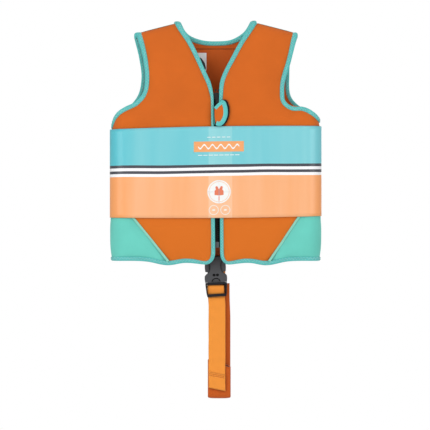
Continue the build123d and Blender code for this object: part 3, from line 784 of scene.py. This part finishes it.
def build_vest():
    """The padded outer fabric, cut into its panels along the side seams, and the linings."""
    back_points = back_grid()
    depth = skin_depth(back_points, BACK_EDGES, BACK_SEED)
    back = shell("back_skin", back_points, depth, BACK, ORANGE)
    back_parts = {side: cut(back, side, True, f"back_{side}_corner") for side in SIGN}
    body = cut(cut(back, "right", False, "back_upper"), "left", False, "back_panel_padded")
    bpy.data.objects.remove(bpy.data.objects["back_upper"])
    bpy.data.objects.remove(back)
    ride(body, "vest", "neoprene", "back_panel")
    for side, s in SIGN.items():
        grid = front_grid(side)
        edges = np.concatenate([EDGES[side], ARMS[side]])
        depth = skin_depth(grid, edges, FRONT_SEED + s)
        front = shell(f"front_skin_{side}", grid, depth, FRONT, ORANGE)
        upper = cut(front, side, False, f"front_panel_{side}_padded")
        lower = cut(front, side, True, f"front_{side}_corner")
        bpy.data.objects.remove(front)
        ride(upper, "vest", "neoprene", f"front_panel_{side}")
        corner = join(f"side_panel_{side}_padded", [lower, back_parts[side]])
        corner.data.materials[0] = TEAL
        ride(corner, "vest", "side_neoprene", f"side_panel_{side}")
        free = edges[(edges[:, 1] > -80) | (np.abs(edges[:, 0]) > 12)]
        depth = lining_depth(grid, free, FRONT_LINING_SEED + s)
        inside = shell(f"front_lining_{side}_cloth", grid, depth, FRONT, LINING)
        ride(inside, "vest", "lining", f"front_lining_{side}")
    depth = lining_depth(back_points, BACK_EDGES, BACK_LINING_SEED)
    inside = shell("back_lining_cloth", back_points, depth, BACK, LINING)
    ride(inside, "vest", "lining", "back_lining")


NECK_DEPTH, ZIP_DEPTH = (5.2, 3.9), (3.7, 2.6)  # a tape's middle under the surface, half its thickness


def tape_depths(deep):
    """Shallow beside the zip, where the slider runs behind the tape, and deep elsewhere."""
    return tuple(ZIP_DEPTH[i] + (NECK_DEPTH[i] - ZIP_DEPTH[i]) * deep for i in (0, 1))


def edge_depths(z):
    """From the neck down to the zip."""
    return tape_depths(step(z, -100, -66))


def low_depths(z):
    """From the zip round the bottom corner to the hem."""
    return tape_depths(1 - step(z, -336, -322))


def neck_half(rim):
    """Half the neck tape's thickness along its edge."""
    return np.where(rim[:, 1] < 0, edge_depths(rim[:, 2])[1], NECK_DEPTH[1])


def hem_half(rim):
    """Half the hem tape's thickness: thin by the zip, a little fuller round the sides."""
    near_zip = (rim[:, 1] < 0) & (np.abs(rim[:, 0]) < 20)
    at_side = step(np.abs(rim[:, 0]), FLAT, HALF_WIDTH - 6)
    return np.where(near_zip, low_depths(rim[:, 2])[1], NECK_DEPTH[1] + 0.4 * at_side)


def arm_half(rim):
    """Half the armhole tapes' thickness, the same all round."""
    return np.full(len(rim), NECK_DEPTH[1])


def build_bindings():
    """One tape up a front, round the neck and down the other; one round the hem; one round each arm."""
    right, left = front_edge("right", 110, 120)[::-1], front_edge("left", 110, 120)
    runs = [(right, FRONT, 1, edge_depths(right[:, 1])[0]),
            (through(BACK_NECK, 90), BACK, -1, NECK_DEPTH[0]),
            (left, FRONT, 1, edge_depths(left[:, 1])[0])]
    made = tape("neck_binding_tape", edge_path(*runs), neck_half, False)
    ride(made, "vest", "binding", "neck_binding")

    right, left = (chain(corner_arc(side, 0, 1, 24), hem_edge(side, 130)) for side in SIGN)
    left = left[::-1]
    behind = chain(hem_edge("right", 130)[::-1], hem_edge("left", 130))
    runs = [(right, FRONT, -1, low_depths(right[:, 1])[0]),
            (behind, BACK, 1, NECK_DEPTH[0]),
            (left, FRONT, -1, low_depths(left[:, 1])[0])]
    made = tape("hem_binding_tape", edge_path(*runs), hem_half, False)
    ride(made, "vest", "binding", "hem_binding")

    for side, turn in (("right", 1), ("left", -1)):
        front, back = through(ARM_FRONT[side], 120), through(ARM_BACK[side], 120)
        path = edge_path((front, FRONT, turn, NECK_DEPTH[0]), (back[::-1], BACK, -turn, NECK_DEPTH[0]))
        made = tape(f"armhole_binding_{side}_tape", path, arm_half, True)
        ride(made, "vest", "binding", f"armhole_binding_{side}")


def band(name, points, ups, width, height, material):
    """A thin raised strip along points, crowned across its width."""
    along = unit(np.gradient(points, axis=0))
    ups = unit(ups - (ups * along).sum(1)[:, None] * along)
    side = np.cross(along, ups)
    across = np.linspace(-1, 1, 5)
    rows = [points[i] + side[i] * t * width / 2 + ups[i] * height * (1 - t**4)
            for i in range(len(points)) for t in across]
    uvs = [(length * 0.001, t * width * 0.0005) for length in measured(points) for t in across]
    return make(name, rows, grid_faces(len(points), len(across)), material, uvs)


def side_seam(side, s):
    """Flatlock seam over a side panel, from the front hem round the side to the back hem."""
    (x0, z0), (x1, z1) = SEAM[side]
    x_hem, count = abs(x1) + 2.0, 70
    u = np.r_[np.linspace(x_hem, SIDE_U, count), np.linspace(SIDE_U, x_hem, count)[1:]]
    bend = np.minimum((u - FLAT) / SIDE_RADIUS, 1.57)
    x = np.minimum(np.where(u < FLAT, u, FLAT + SIDE_RADIUS * np.sin(bend)), HALF_WIDTH)
    z = z0 + (x - abs(x0)) / (abs(x1) - abs(x0)) * (z1 - z0)
    mirror = np.ones((len(u), 3))
    mirror[:count, 1] = FRONT
    low, high = (place(s * u, z, depth, BACK) * mirror for depth in (0.9, -2))
    made = band(f"side_seam_{side}_flatlock", low, high - low, 3.6, 0.7, SEAM_THREAD)
    ride(made, "vest", "seam_thread", f"side_seam_{side}")


def shoulder_seam(side, s):
    """Flatlock seam laid over the shoulder ridge, from the arm to the neck."""
    line = resample([ARM_FRONT[side][0], NECK[side][0]], 40)[4:-4]
    depth = skin_depth(line, np.concatenate([EDGES[side], ARMS[side]]), FRONT_SEED + s)
    across = (-1, -0.6, -0.2, 0.2, 0.6, 1)
    rows = [place(u, z - 0.35 * t * t, depth[i] + 0.3 - 0.55 * (1 - t**4), BACK if t > 0 else FRONT)
            for i, (u, z) in enumerate(line) for t in across]
    uvs = [(i * 0.0015, t * 0.002) for i in range(len(line)) for t in across]
    faces = grid_faces(len(line), len(across))
    made = make(f"shoulder_seam_{side}_flatlock", rows, faces, SEAM_THREAD, uvs)
    ride(made, "vest", "seam_thread")


def build_seams():
    """The flatlock seams on both sides."""
    for side, s in SIGN.items():
        side_seam(side, s)
        shoulder_seam(side, s)


# ---- the card sleeve -----------------------------------------------------------------------------
CARD_OUTER, CARD_INNER, CARD_ROWS = 1.1, 0.6, 26  # gaps from the body to the card's faces; rows up each


def card_edge(x, low, high):
    """Height of the card's edges, which bow a little and tip to one side."""
    top = high + 0.016 * x - 0.00008 * x**2
    bottom = low + 0.008 * x + 0.00007 * x**2
    return bottom, top


def card_ring(gap, count=44):
    """Points round the sleeve, anticlockwise from above, starting at the middle of the back."""
    r = SIDE_RADIUS + gap
    flat, y_side = HALF_WIDTH + gap - r, HALF_DEPTH + gap - r
    quarter = np.linspace(0, math.pi / 2, 13)[1:]
    points = [(x, y_side + r) for x in np.linspace(0, -flat, count)]
    points += [(-flat - r * math.sin(t), y_side + r * math.cos(t)) for t in quarter]
    points += [(-flat - r, y) for y in np.linspace(y_side, -y_side, 5)[1:]]
    points += [(-flat - r * math.cos(t), -y_side - r * math.sin(t)) for t in quarter]
    points += [(x, -y_side - r) for x in np.linspace(-flat, 0, count)[1:]]
    return np.array(points + [(-x, y) for x, y in reversed(points[1:-1])])


def card_bulge(x, z):
    """How far the padded vest pushes the card's flat faces out."""
    middle = np.clip(1 - (np.abs(x) / (HALF_WIDTH - 8)) ** 4, 0, 1)
    tall = np.sin(np.clip((z - SLEEVE_BOTTOM) / (SLEEVE_TOP - SLEEVE_BOTTOM), 0, 1) * math.pi)
    return middle * (0.5 + 0.9 * tall)


def build_sleeve():
    """A closed loop of card with an outer and an inner face."""
    layers = []
    for gap, rows in ((CARD_OUTER, np.linspace(0, 1, CARD_ROWS)), (CARD_INNER, np.linspace(1, 0, CARD_ROWS))):
        x, y = card_ring(gap).T
        low, high = card_edge(x, SLEEVE_BOTTOM, SLEEVE_TOP)
        for t in rows:
            z = low + (high - low) * t
            bulge = np.sign(y) * card_bulge(x, z) * (np.abs(y) > HALF_DEPTH - 1)
            layers.append(np.stack([x + hang(x, z), y + bulge, z], axis=1))
    faces = grid_faces(len(layers), len(layers[0]), closed=True, wrapped=True)
    made = recalculate(make("card_sleeve", np.concatenate(layers), faces, CARD))
    return ride(made, "sleeve", "card", "sleeve_wrap")


def card_point(x, z, lift):
    """A place on the card's printed front, which tips as the stripes do."""
    x, z = np.asarray(x, float), np.asarray(z, float)
    y = -(HALF_DEPTH + CARD_OUTER + card_bulge(x, z) + lift)
    return np.stack([x, y, z + 0.0148 * x], axis=-1)


def rounded_outline(cx, cz, w, h, r, count=10):
    """Outline of a rounded rectangle, or of a disc when the radius is half its size."""
    points = []
    for qx, qz, start in ((1, 1, 0), (-1, 1, 90), (-1, -1, 180), (1, -1, 270)):
        x, z = cx + qx * (w / 2 - r), cz + qz * (h / 2 - r)
        turns = np.radians(np.linspace(start, start + 90, count))
        points += [(x + r * math.cos(t), z + r * math.sin(t)) for t in turns]
    return np.array(points)


def print_shape(name, outlines, material, lift=0.12):
    """Flat print on the card, each outline filled."""
    points, faces = [], []
    for outline in outlines:
        centre = outline.mean(axis=0)
        base, n = len(points), len(outline)
        for ring in (outline, centre + (outline - centre) * 0.5, centre[None]):
            points += list(card_point(ring[:, 0], ring[:, 1], lift))
        faces += grid_faces(2, n, closed=True, base=base)
        faces += [(base + n + k, base + n + (k + 1) % n, base + 2 * n) for k in range(n)]
    return ride(make(name, points, faces, material), "sleeve", "card")


def print_ring(name, rings, thickness, material, lift=0.16):
    """Circle outlines on the card."""
    points, faces = [], []
    for cx, cz, r in rings:
        faces += grid_faces(2, 40, closed=True, base=len(points))
        for radius in (r, r - thickness):
            loop = rounded_outline(cx, cz, 2 * radius, 2 * radius, radius)
            points += list(card_point(loop[:, 0], loop[:, 1], lift))
    return ride(make(name, points, faces, material), "sleeve", "card")


def build_print():
    """Generic graphics: a blank name panel, ruled lines, and a round badge with a plain vest on it."""
    panel_z, badge_x, badge_z, marks_z = -163.4, 3.0, -230.2, -257.2
    print_shape("print_panel", [rounded_outline(2.7, panel_z, 74, 15.4, 0.6)], PEACH_INK)
    run = np.linspace(-28, 33, 120)
    crest = panel_z + 2.9 * np.sin((run - 2.5) / 61 * 10 * math.pi)
    rows = [card_point(run, crest + half, 0.2) for half in (1.2, 0.0, -1.2)]
    wave = make("print_panel_wave", np.concatenate(rows), grid_faces(3, 120), WHITE_INK)
    ride(wave, "sleeve", "card")
    dashes = [rounded_outline(x, -149.5, 5.2, 0.9, 0.4) for x in np.linspace(-12, 17, 5)]
    dashes += [rounded_outline(x, -176.0, 6.4, 0.9, 0.4) for x in np.linspace(-25, 30, 8)]
    print_shape("print_rules", dashes, WHITE_INK)
    print_shape("print_badge", [rounded_outline(badge_x, badge_z, 34.6, 34.6, 17.3)], WHITE_INK)
    print_ring("print_badge_ring", [(badge_x, badge_z, 15.2)], 0.5, PEACH_INK)
    half = [(0, -7.4), (6.7, -6.6), (6.7, -0.8), (4.8, 1.5), (5.6, 5.6), (2.7, 6.6), (0, 1.6)]
    vest = half + [(-x, z) for x, z in half[-2:0:-1]]
    outline = np.array([(badge_x + x, badge_z + 1.8 + z) for x, z in vest])
    strap = rounded_outline(badge_x, badge_z - 9.8, 1.3, 7.0, 0.6)
    print_shape("print_badge_vest", [outline, strap], CORAL_INK, 0.22)
    print_shape("print_badge_zip", [rounded_outline(badge_x, badge_z - 1.2, 0.8, 9.4, 0.4)], BLUE_INK, 0.3)
    marks = (-4.9, 12.3)
    print_ring("print_small_rings", [(x, marks_z, 7.2) for x in marks], 0.8, WHITE_INK)
    dots = [rounded_outline(x, marks_z, 4.2, 2.2, 1.0) for x in marks]
    print_shape("print_small_marks", dots, WHITE_INK, 0.2)


# ---- webbing -------------------------------------------------------------------------------------
def side_normals(points):
    """Unit vectors along a run of (y, z) points, and at right angles to it."""
    along = unit(np.gradient(points, axis=0))
    return along, np.stack([-along[:, 1], along[:, 0]], axis=1)


def ribbon(name, points, width, thickness, x, material, end_skew=0.0, sway=0.4, start_skew=0.0):
    """Flat webbing with rounded selvedges along (y, z) points; its two ends can be cut at a slant."""
    points = np.asarray(points, float)
    along, normal = side_normals(points)
    length = measured(points)
    section = [(0.5, 0), (0.49, 0.36), (0.44, 0.5), (0.22, 0.47), (0, 0.5)]
    section += [(-a, b) for a, b in section[3:0:-1]]
    section += [(-a, -b) for a, b in section]
    rows, uvs = [], []
    for i, (y, z) in enumerate(points):
        shift = sway * (noise.noise(Vector((length[i] / 45, width, 2.0))) - 4.6 * step(z, -400, -376))
        near_start = 1 - step(length[i], 0, 8)
        near_end = step(length[i], length[-1] - 25, length[-1])
        for a, b in section:
            slant = (end_skew * near_end + start_skew * near_start) * a
            y_off, z_off = normal[i] * b * thickness + along[i] * slant
            rows.append((x + shift + a * width, y + y_off, z + z_off))
            uvs.append((length[i] * 0.001, a * width * 0.001))
    return recalculate(make(name, rows, tube_faces(len(points), len(section)), material, uvs))


def arc_run(centre, radius, start, end, count=14):
    """Points on an arc in the side view; angles are in degrees from +y towards +z."""
    turn = np.radians(np.linspace(start, end, count))
    return [(centre[0] + radius * math.cos(t), centre[1] + radius * math.sin(t)) for t in turn]


def dense(points, spacing=2.0):
    """The same run with a point about every spacing."""
    points = np.asarray(points, float)
    return resample(points, max(3, int(measured(points)[-1] / spacing)))


WEBBING = (25, 1.3)  # width and thickness
BACK_Y, FRONT_Y, FOLD_Z = 8.4, 0.0, -530.4  # the strap's two layers, and the middle of its fold
BAR_Z, WRAP = -371.0, 2.25  # the adjuster's bar, and the webbing's radius round it
TAIL_TOP = -387.0


def fold_run():
    """The half turn at the bottom of the strap, from the back layer to the front one."""
    radius = (BACK_Y - FRONT_Y) / 2
    return arc_run((radius, FOLD_Z), radius, 0, -180)


def build_strap():
    """The crotch strap's webbing, its sewn root, and its free tail with the end turned back and stitched."""
    main = dense([(BACK_Y, -352.8), (BACK_Y, FOLD_Z)] + fold_run() + [(0.1, -470), (1.2, -383), (WRAP, BAR_Z)]
                 + arc_run((0, BAR_Z), WRAP, 0, 180) + [(-0.85, -382), (-0.85, TAIL_TOP)], 1.6)
    ride(ribbon("crotch_strap_webbing", main, *WEBBING, 0, WEB), "crotch_strap", "webbing", "crotch_strap")
    bend = [tuple(p) for p in through([(12.6, -318), (10.8, -334), (8.5, -346)], 12)]
    root = dense([(12.6, -290), (12.6, -318)] + bend + [(BACK_Y, -353.4)])
    made = ribbon("strap_root_webbing", root, *WEBBING, 0, WEB, sway=0)
    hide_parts("back_strap_root")
    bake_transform(made)

    tail = dense([(-0.85, TAIL_TOP + 0.4), (-1.2, -398), (-2.4, -430), (-4.0, -468), (-4.3, -523.6)])
    made = ribbon("strap_tail_webbing", tail, *WEBBING, 0, WEB, end_skew=5)
    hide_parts("strap_tail")
    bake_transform(made)
    hem = dense([(-5.6, -500), (-5.6, -523.2)])
    fold_back = ribbon("strap_tail_hem_fold", hem, 24.6, 1.1, 0, WEB, end_skew=5, sway=0, start_skew=5)
    ride(fold_back, "strap_tail", "webbing", "strap_tail_hem")
    rows = [np.array([(x, -6.25, z - 0.2 * x) for x in (-11.4, 11.4)]) for z in (-502.0, -504.4)]
    stitches("strap_tail_hem_stitches", rows, WEB_THREAD, fold_back, pitch=2.4, length=1.9, radius=0.4)


PAD_TURN = 20  # points round the pad's section


def pad_tube(name, points, width, thickness, x, wall, end_skew):
    """A soft flat tube with open mouths, along (y, z) points; its last mouth is cut at a slant."""
    points = np.asarray(points, float)
    along, normal = side_normals(points)
    total = len(points)
    rows = []
    for inner in (0, 1):
        for i in range(total)[::-1 if inner else 1]:
            y, z = points[i]
            near_end = step(float(i), total - 12, total - 1)
            swell = 1 + 0.05 * noise.noise(Vector((i / 9, 4.0, inner))) + 0.04 * math.sin(math.pi * i / total)
            behind = step(y, 4, 8)
            wide, aside = width - 2.6 * behind, x + 0.9 * behind - 1.2 * step(z, -420, -380)
            for turn in 2 * math.pi * np.arange(PAD_TURN) / PAD_TURN:
                a, b = pill(turn, wide / 2 - inner * wall, thickness / 2 * swell - inner * wall)
                y_off, z_off = normal[i] * b + along[i] * (end_skew * a / width - b * 0.8) * near_end
                rows.append((aside + a, y + y_off, z + z_off))
    made = make(name, rows, grid_faces(2 * total, PAD_TURN, closed=True, wrapped=True), DARK_ORANGE)
    # The tube's inner wall takes the near-black brown: painted shade in its mouths.
    made.data.materials.append(PAD_MOUTH_SHADE)
    for number, face in enumerate(made.data.polygons):
        face.material_index = 1 if total <= number // PAD_TURN < 2 * total - 1 else 0
    recalculate(made)
    return made


def build_pad():
    """The dark neoprene tube that is drawn over the strap's fold."""
    run = dense([(BACK_Y, -366), (BACK_Y, FOLD_Z)] + fold_run() + [(FRONT_Y, -485)], 3)
    made = pad_tube("comfort_pad_sleeve", run, 34, 5.0, 3.3, 1.5, -10.5)
    ride(made, "crotch_strap", "comfort_neoprene", "comfort_pad")


BUCKLE_TILT = math.radians(-3.0)
MOUTH = (-1.0 + 6.6 * math.sin(BUCKLE_TILT), BAR_Z + 6.6 * math.cos(BUCKLE_TILT))  # where its halves meet


def on_buckle(points):
    """Points given from the middle of the buckle's mouth line, moved to where the tilted buckle hangs."""
    points = np.asarray(points, float)
    cos, sin = math.cos(BUCKLE_TILT), math.sin(BUCKLE_TILT)
    x = MOUTH[0] + cos * points[:, 0] + sin * points[:, 2]
    z = MOUTH[1] - sin * points[:, 0] + cos * points[:, 2]
    return np.stack([x, points[:, 1], z], axis=1)


def build_tab_webbing():
    """The webbing that holds the socket, turned round its bar and moved with the tilted buckle."""
    path = [(-12.6, 84), (-12.6, 66), (-10.4, 60), (-4.2, 52.5), (-1.9, 47), (-1.9, 41.6)]
    path += [(-1.7, 40.4), (-0.6, 40.1), (0.6, 40.1), (1.7, 40.4), (1.9, 41.6), (1.9, 50)]
    # The tab takes the darker webbing: painted shade.
    made = ribbon("socket_webbing", dense(path, 1.5), 24, 1.3, 0, SHADED_TAB_WEB, sway=0)
    drawn = on_buckle([vertex.co * 1000 for vertex in made.data.vertices])
    made.data.vertices.foreach_set("co", (drawn * 0.001).ravel())
    ride(made, "buckle_socket", "webbing", "female_webbing_tab")
    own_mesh(made)


def build_buckle_details():
    """Painted shade: near-black rims in the socket's thumb recess and round its holes; and the plug's
    shoulder at the mouth.
    """
    points, faces = [], []
    shade_rims = [((0, 1.0), (6.9, 5.7), (5.2, 4.1), 180, -3.78)]
    shade_rims += [((x, 10.7), (2.15, 1.9), (1.2, 1.2), 360, -5.26) for x in (-2.5, 2.5)]
    for (x, z), outer, inner, last, y in shade_rims:
        turns = np.radians(np.linspace(0, last, 33))
        faces += grid_faces(2, 33, base=len(points))
        for a, b in (outer, inner):
            points += [(x + a * math.cos(t), y, z + b * math.sin(t)) for t in turns]
    ride(make("buckle_socket_recess_shade", on_buckle(points), faces, RECESS_SHADE), "buckle_socket", "buckle_plastic")
    points, faces = [], []
    for x0, x1, half, low, high in ((-13.0, 13.0, 2.6, -0.9, 1.1), (12.0, 13.6, 1.6, -20.5, -0.6)):
        faces += tube_faces(2, 16, len(points))
        for z in (low, high):
            for k in range(16):
                a, b = pill(2 * math.pi * (k + 0.5) / 16, (x1 - x0) / 2, half)
                points.append(((x0 + x1) / 2 + a, b, z))
    made = recalculate(make("adjuster_shoulder_moulded", on_buckle(points), faces, FRAME_PLASTIC))
    ride(made, "crotch_strap", "buckle_plastic")


# ---- safety tab ----------------------------------------------------------------------------------
TAB_EDGE = [(-4.4, -105.6), (2.4, -99.0), (8.2, -95.0), (11.9, -97.2), (14.6, -103.3), (15.6, -110.4),
            (15.2, -117.5), (12.6, -125.0), (8.2, -131.0), (3.0, -133.0), (-2.2, -131.4)]
TAB_MIDDLE = np.array([5.0, -115.5])
TAB_FRONT_Y, TAB_TAPE_Y, TAB_REAR_Y = -30.1, -30.05, -29.6


def small_tape(name, rim, inward, outward, reach, half):
    """Folded tape over a flap's edge, open at both ends and wider in some places than in others."""
    into, up = frames(rim, inward, outward, False)
    points, uvs = folded(rim, into, up, reach, np.full(len(rim), half), 0.3, 0.0008)
    made = recalculate(make(name, points, tube_faces(len(rim), SECTION), BINDING, uvs))
    run = rim + into * (reach * 1.55)[:, None] + up * half * 0.9
    stitches(name + "_stitches", [run], THREAD, made, pitch=2.4, length=1.6, radius=0.26)
    return made


def build_tab():
    """A D-shaped flap bound on its free edges; its straight side is sewn to the wearer's-right front."""
    run = through(TAB_EDGE, 84)
    root = resample([run[-1], (-4.2, -120), run[0]], 24)[1:-1]
    loop = np.concatenate([run, root])
    count = len(loop)
    rows = []
    domed = ((0.94, 0.1), (0.8, 0.75), (0.6, 0.95), (0.36, 1.05), (0.15, 1.1))
    for y0, rings in ((TAB_FRONT_Y, domed), (TAB_REAR_Y, ((0.15, -0.6), (0.5, -0.6), (0.94, 0.0)))):
        for scale, rise in rings:
            rows += [(x, y0 - rise, z) for x, z in TAB_MIDDLE + (loop - TAB_MIDDLE) * scale]
    faces = grid_faces(5, count, closed=True) + grid_faces(3, count, closed=True, base=5 * count)
    faces += [tuple(range(4 * count, 5 * count)), tuple(range(5 * count, 6 * count))]
    faces += [(7 * count + k, 7 * count + (k + 1) % count, (k + 1) % count, k) for k in range(count)]
    made = recalculate(make("closure_tab_padded", rows, faces, ORANGE))
    ride(made, "closure_tab", "neoprene", "closure_tab")

    x, z = run.T
    level = np.zeros(len(run))
    rim = np.stack([x, level + TAB_TAPE_Y, z], axis=1)
    inward = np.stack([TAB_MIDDLE[0] - x, level, TAB_MIDDLE[1] - z], axis=1)
    outward = np.tile((0.0, -1.0, 0.0), (len(run), 1))
    reach = np.minimum(2.6 + 0.9 * step(x, 3, 12) + 0.8 * step(-z, 118, 130), 3.5)
    made = small_tape("closure_tab_binding_tape", rim, inward, outward, reach, 1.5)
    ride(made, "closure_tab", "binding", "closure_tab_binding")


LOOP_EDGE = [(8.6, -94.2), (13.4, -94.6), (17.2, -101.0), (18.6, -109.0), (17.8, -118.0), (14.4, -127.0),
             (8.4, -133.0)]


def build_loop():
    """The soft half of the fastener: a black looped pile that shows past the tab's free edge."""
    run = through(LOOP_EDGE, 120)
    root = resample([run[-1], (3.6, -130), (3.6, -97), run[0]], 60)[1:-1]
    loop = np.concatenate([run, root])
    middle = np.array([9.5, -114.0])
    rows = []
    for scale, y in ((0.97, -24.6), (1.0, -25.4), (1.0, -27.2), (0.985, -27.6), (0.9, -27.8), (0.5, -27.9)):
        for x, z in middle + (loop - middle) * scale:
            tuft = 0.3 * noise.noise(Vector((x * 1.3, z * 1.3, y)))
            rows.append((x + tuft, y, z + tuft))
    made = recalculate(make("closure_loop_pile", rows, tube_faces(6, len(loop)), FUZZ))
    ride(made, "vest", "hook_and_loop", "closure_loop_patch")


# ---- zip -----------------------------------------------------------------------------------------
ZIP_Y, FIRST_TOOTH_Z, TOOTH_PITCH, TEETH = -16.5, -303.0, 3.1, 68


def build_zip():
    """Woven tapes that meet under the teeth, and two rows of teeth that interlock."""
    for side, s in SIGN.items():
        cloth = dense([(ZIP_Y, -85.0), (ZIP_Y, -312)])
        made = ribbon(f"zip_tape_{side}_woven", cloth, 14.3, 0.6, s * 7.4, ZIP_TAPE, sway=0)
        ride(made, "vest", "zip_tape", f"zip_tape_{side}")
        rows, faces = [], []
        first = FIRST_TOOTH_Z + (TOOTH_PITCH / 2 if side == "left" else 0)
        for z in first + np.arange(TEETH) * TOOTH_PITCH:
            faces += tube_faces(4, 8, len(rows))
            for level, size in ((-0.72, 0.82), (-0.5, 1.0), (0.5, 1.0), (0.72, 0.82)):
                for k in range(8):
                    a, b = pill(2 * math.pi * (k + 0.5) / 8, 1.7 * size, 1.25 * size)
                    rows.append((s * 1.15 + a, ZIP_Y + b, z + level))
        made = recalculate(make(f"zip_teeth_{side}_row", rows, faces, ZIP_PLASTIC))
        ride(made, "vest", "zip_plastic", f"zip_teeth_{side}")


# ---- labels and carried-over solids --------------------------------------------------------------
def on_lining(points, lift):
    """Places on the inside of the back."""
    depth = lining_depth(points, BACK_EDGES, BACK_LINING_SEED) + lift
    return place(points[..., 0], points[..., 1], depth, BACK)


def build_label():
    """A satin label inside the back neck, with a plain generic mark."""
    columns, rows = np.linspace(-31.7, -15.7, 11), np.linspace(-23.4, -50.2, 17)
    points = on_lining(np.stack(np.meshgrid(columns, rows), axis=-1), 0.5).reshape(-1, 3)
    label = make("neck_label_satin", points, grid_faces(17, 11), LABEL, points[:, [0, 2]] * 0.001)
    ride(label, "vest", "label", "neck_label")
    run = np.linspace(0, 1, 14)
    strokes = (((-27.0, -30.5), (-18.6, -42.0), 2.1), ((-21.0, -37.5), (-17.4, -48.0), 1.5),
               ((-21.6, -46.0), (-17.6, -41.0), 1.1))
    points, faces = [], []
    for (x0, z0), (x1, z1), wide in strokes:
        middle = np.stack([x0 + (x1 - x0) * run, z0 + (z1 - z0) * run], axis=1)
        half = wide * np.sqrt(np.maximum(1 - (2 * run - 1) ** 4, 0.01))
        aside = np.stack([half, half * 0.6], axis=1)
        faces += grid_faces(14, 2, base=len(points))
        points += list(on_lining(np.stack([middle + aside, middle - aside], axis=1), 0.8).reshape(-1, 3))
    ride(make("neck_label_mark", points, faces, BLACK_INK), "vest", "label")


def build_lining_seam():
    """A line of stitches across the inside of the back, under the neck."""
    run = on_lining(resample([(-50, -17.5), (50, -17.5)], 90), 0.25)
    made = stitches("lining_seam_stitches", [run], LINING_THREAD, None, pitch=2.4, length=2.3, radius=0.42)
    ride(made, "vest", "lining")


BEVEL_ANGLE = math.radians(38)  # edges sharper than this are rounded


def finish_node(name, material, bevel):
    """A CAD node that keeps its shape: a material, and small rounded edges where they'd catch the light."""
    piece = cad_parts[name]
    piece.data.materials.clear()
    piece.data.materials.append(material)
    if bevel:
        piece.modifiers.new("weld", "WELD").merge_threshold = WELD_GAP
        edge = piece.modifiers.new("edges", "BEVEL")
        edge.width = bevel
        edge.segments = 2
        edge.limit_method = "ANGLE"
        edge.angle_limit = BEVEL_ANGLE
        edge.harden_normals = False


def finish_nodes():
    """The pieces that are shown as the solid model has them."""
    for name, material, bevel in (
            ("buckle_female", PLASTIC, 0.00055), ("buckle_male", FRAME_PLASTIC, 0.00055),
            ("latch_arm_right", PLASTIC, 0.0004), ("latch_arm_left", PLASTIC, 0.0004),
            ("adjuster_bar", FRAME_PLASTIC, 0), ("zip_bottom_box", BOX_PLASTIC, 0.0002),
            ("zip_slider", ZIP_PLASTIC, 0.0002), ("zip_pull", ZIP_PLASTIC, 0.0002),
            ("zip_top_stops", ZIP_PLASTIC, 0.0002), ("front_foam_right", FOAM, 0),
            ("front_foam_left", FOAM, 0), ("back_foam", FOAM, 0), ("closure_hook_pad", FUZZ, 0),
            ("front_anchor_patch", PATCH, 0), ("back_anchor_patch", PATCH, 0),
            ("closure_tab_root", BINDING, 0), ("sleeve_glue_flap", CARD, 0)):
        finish_node(name, material, bevel)


# ---- stage ---------------------------------------------------------------------------------------
FLOOR_Z, FLOOR_HALF = -800, 3000
LAMP_AIM = Vector((0, 0, -0.22))
LAMPS = (  # name, place and size in metres, and watts
    ("key", (-1.1, -1.4, 0.1), 1.3, 13.0),
    ("fill", (1.3, -1.2, -0.5), 1.3, 12.0),
    ("front", (0.1, -1.3, 0.8), 0.9, 2.4),
    ("top", (0.1, -0.2, 1.4), 1.0, 2.5),
    ("rear", (0.2, 1.6, 0.3), 1.2, 9.0),
)


def build_stage():
    """A pale floor, even light from all round with a white surround, and five soft lamps."""
    ways = ((-1, -1), (1, -1), (1, 1), (-1, 1))
    corners = [(x * FLOOR_HALF, y * FLOOR_HALF, FLOOR_Z) for x, y in ways]
    floor = make("floor", corners, [(0, 1, 2, 3)], ink("floor_paint", srgb(236, 236, 234)))
    world = bpy.data.worlds.new("studio")
    bpy.context.scene.world = world
    world.use_nodes = True
    tree = world.node_tree
    mix = tree.nodes.new("ShaderNodeMixShader")
    rays = tree.nodes.new("ShaderNodeLightPath")
    tree.links.new(rays.outputs["Is Camera Ray"], mix.inputs[0])
    lit_by, seen = tree.nodes["Background"], tree.nodes.new("ShaderNodeBackground")
    for sky, strength, socket in ((lit_by, 0.48, mix.inputs[1]), (seen, 1.0, mix.inputs[2])):
        sky.inputs["Color"].default_value = (1.0, 1.0, 1.0, 1.0)
        sky.inputs["Strength"].default_value = strength
        tree.links.new(sky.outputs[0], socket)
    tree.links.new(mix.outputs[0], tree.nodes["World Output"].inputs[0])
    for name, where, size, power in LAMPS:
        light = bpy.data.lights.new(name, "AREA")
        light.energy = power
        light.size = size
        lamp = bpy.data.objects.new(name, light)
        lamp.location = where
        lamp.rotation_euler = (LAMP_AIM - Vector(where)).to_track_quat("-Z", "Y").to_euler()
        bpy.context.scene.collection.objects.link(lamp)
    bpy.context.scene.view_settings.view_transform = "Standard"


SENSOR = 36.0  # millimetres
CAMERA_DISTANCE = 6.0
VIEW_SIZE = 0.6365  # width and height of what the camera sees at the vest's front
VIEW_CENTRE = (-0.003, -0.2646)


def build_camera():
    """A distant camera square to the vest's front."""
    data = bpy.data.cameras.new("camera")
    data.sensor_width = SENSOR
    data.lens = SENSOR * (CAMERA_DISTANCE - 0.02) / VIEW_SIZE
    data.clip_end = 100
    camera = bpy.data.objects.new("camera", data)
    camera.location = (VIEW_CENTRE[0], -CAMERA_DISTANCE, VIEW_CENTRE[1])
    camera.rotation_euler = (math.pi / 2, 0, 0)
    bpy.context.scene.collection.objects.link(camera)
    bpy.context.scene.camera = camera


build_camera()
build_stage()
build_vest()
build_bindings()
build_seams()
build_sleeve()
build_print()
build_strap()
build_pad()
build_tab_webbing()
build_buckle_details()
build_tab()
build_loop()
build_zip()
build_label()
build_lining_seam()
finish_nodes()
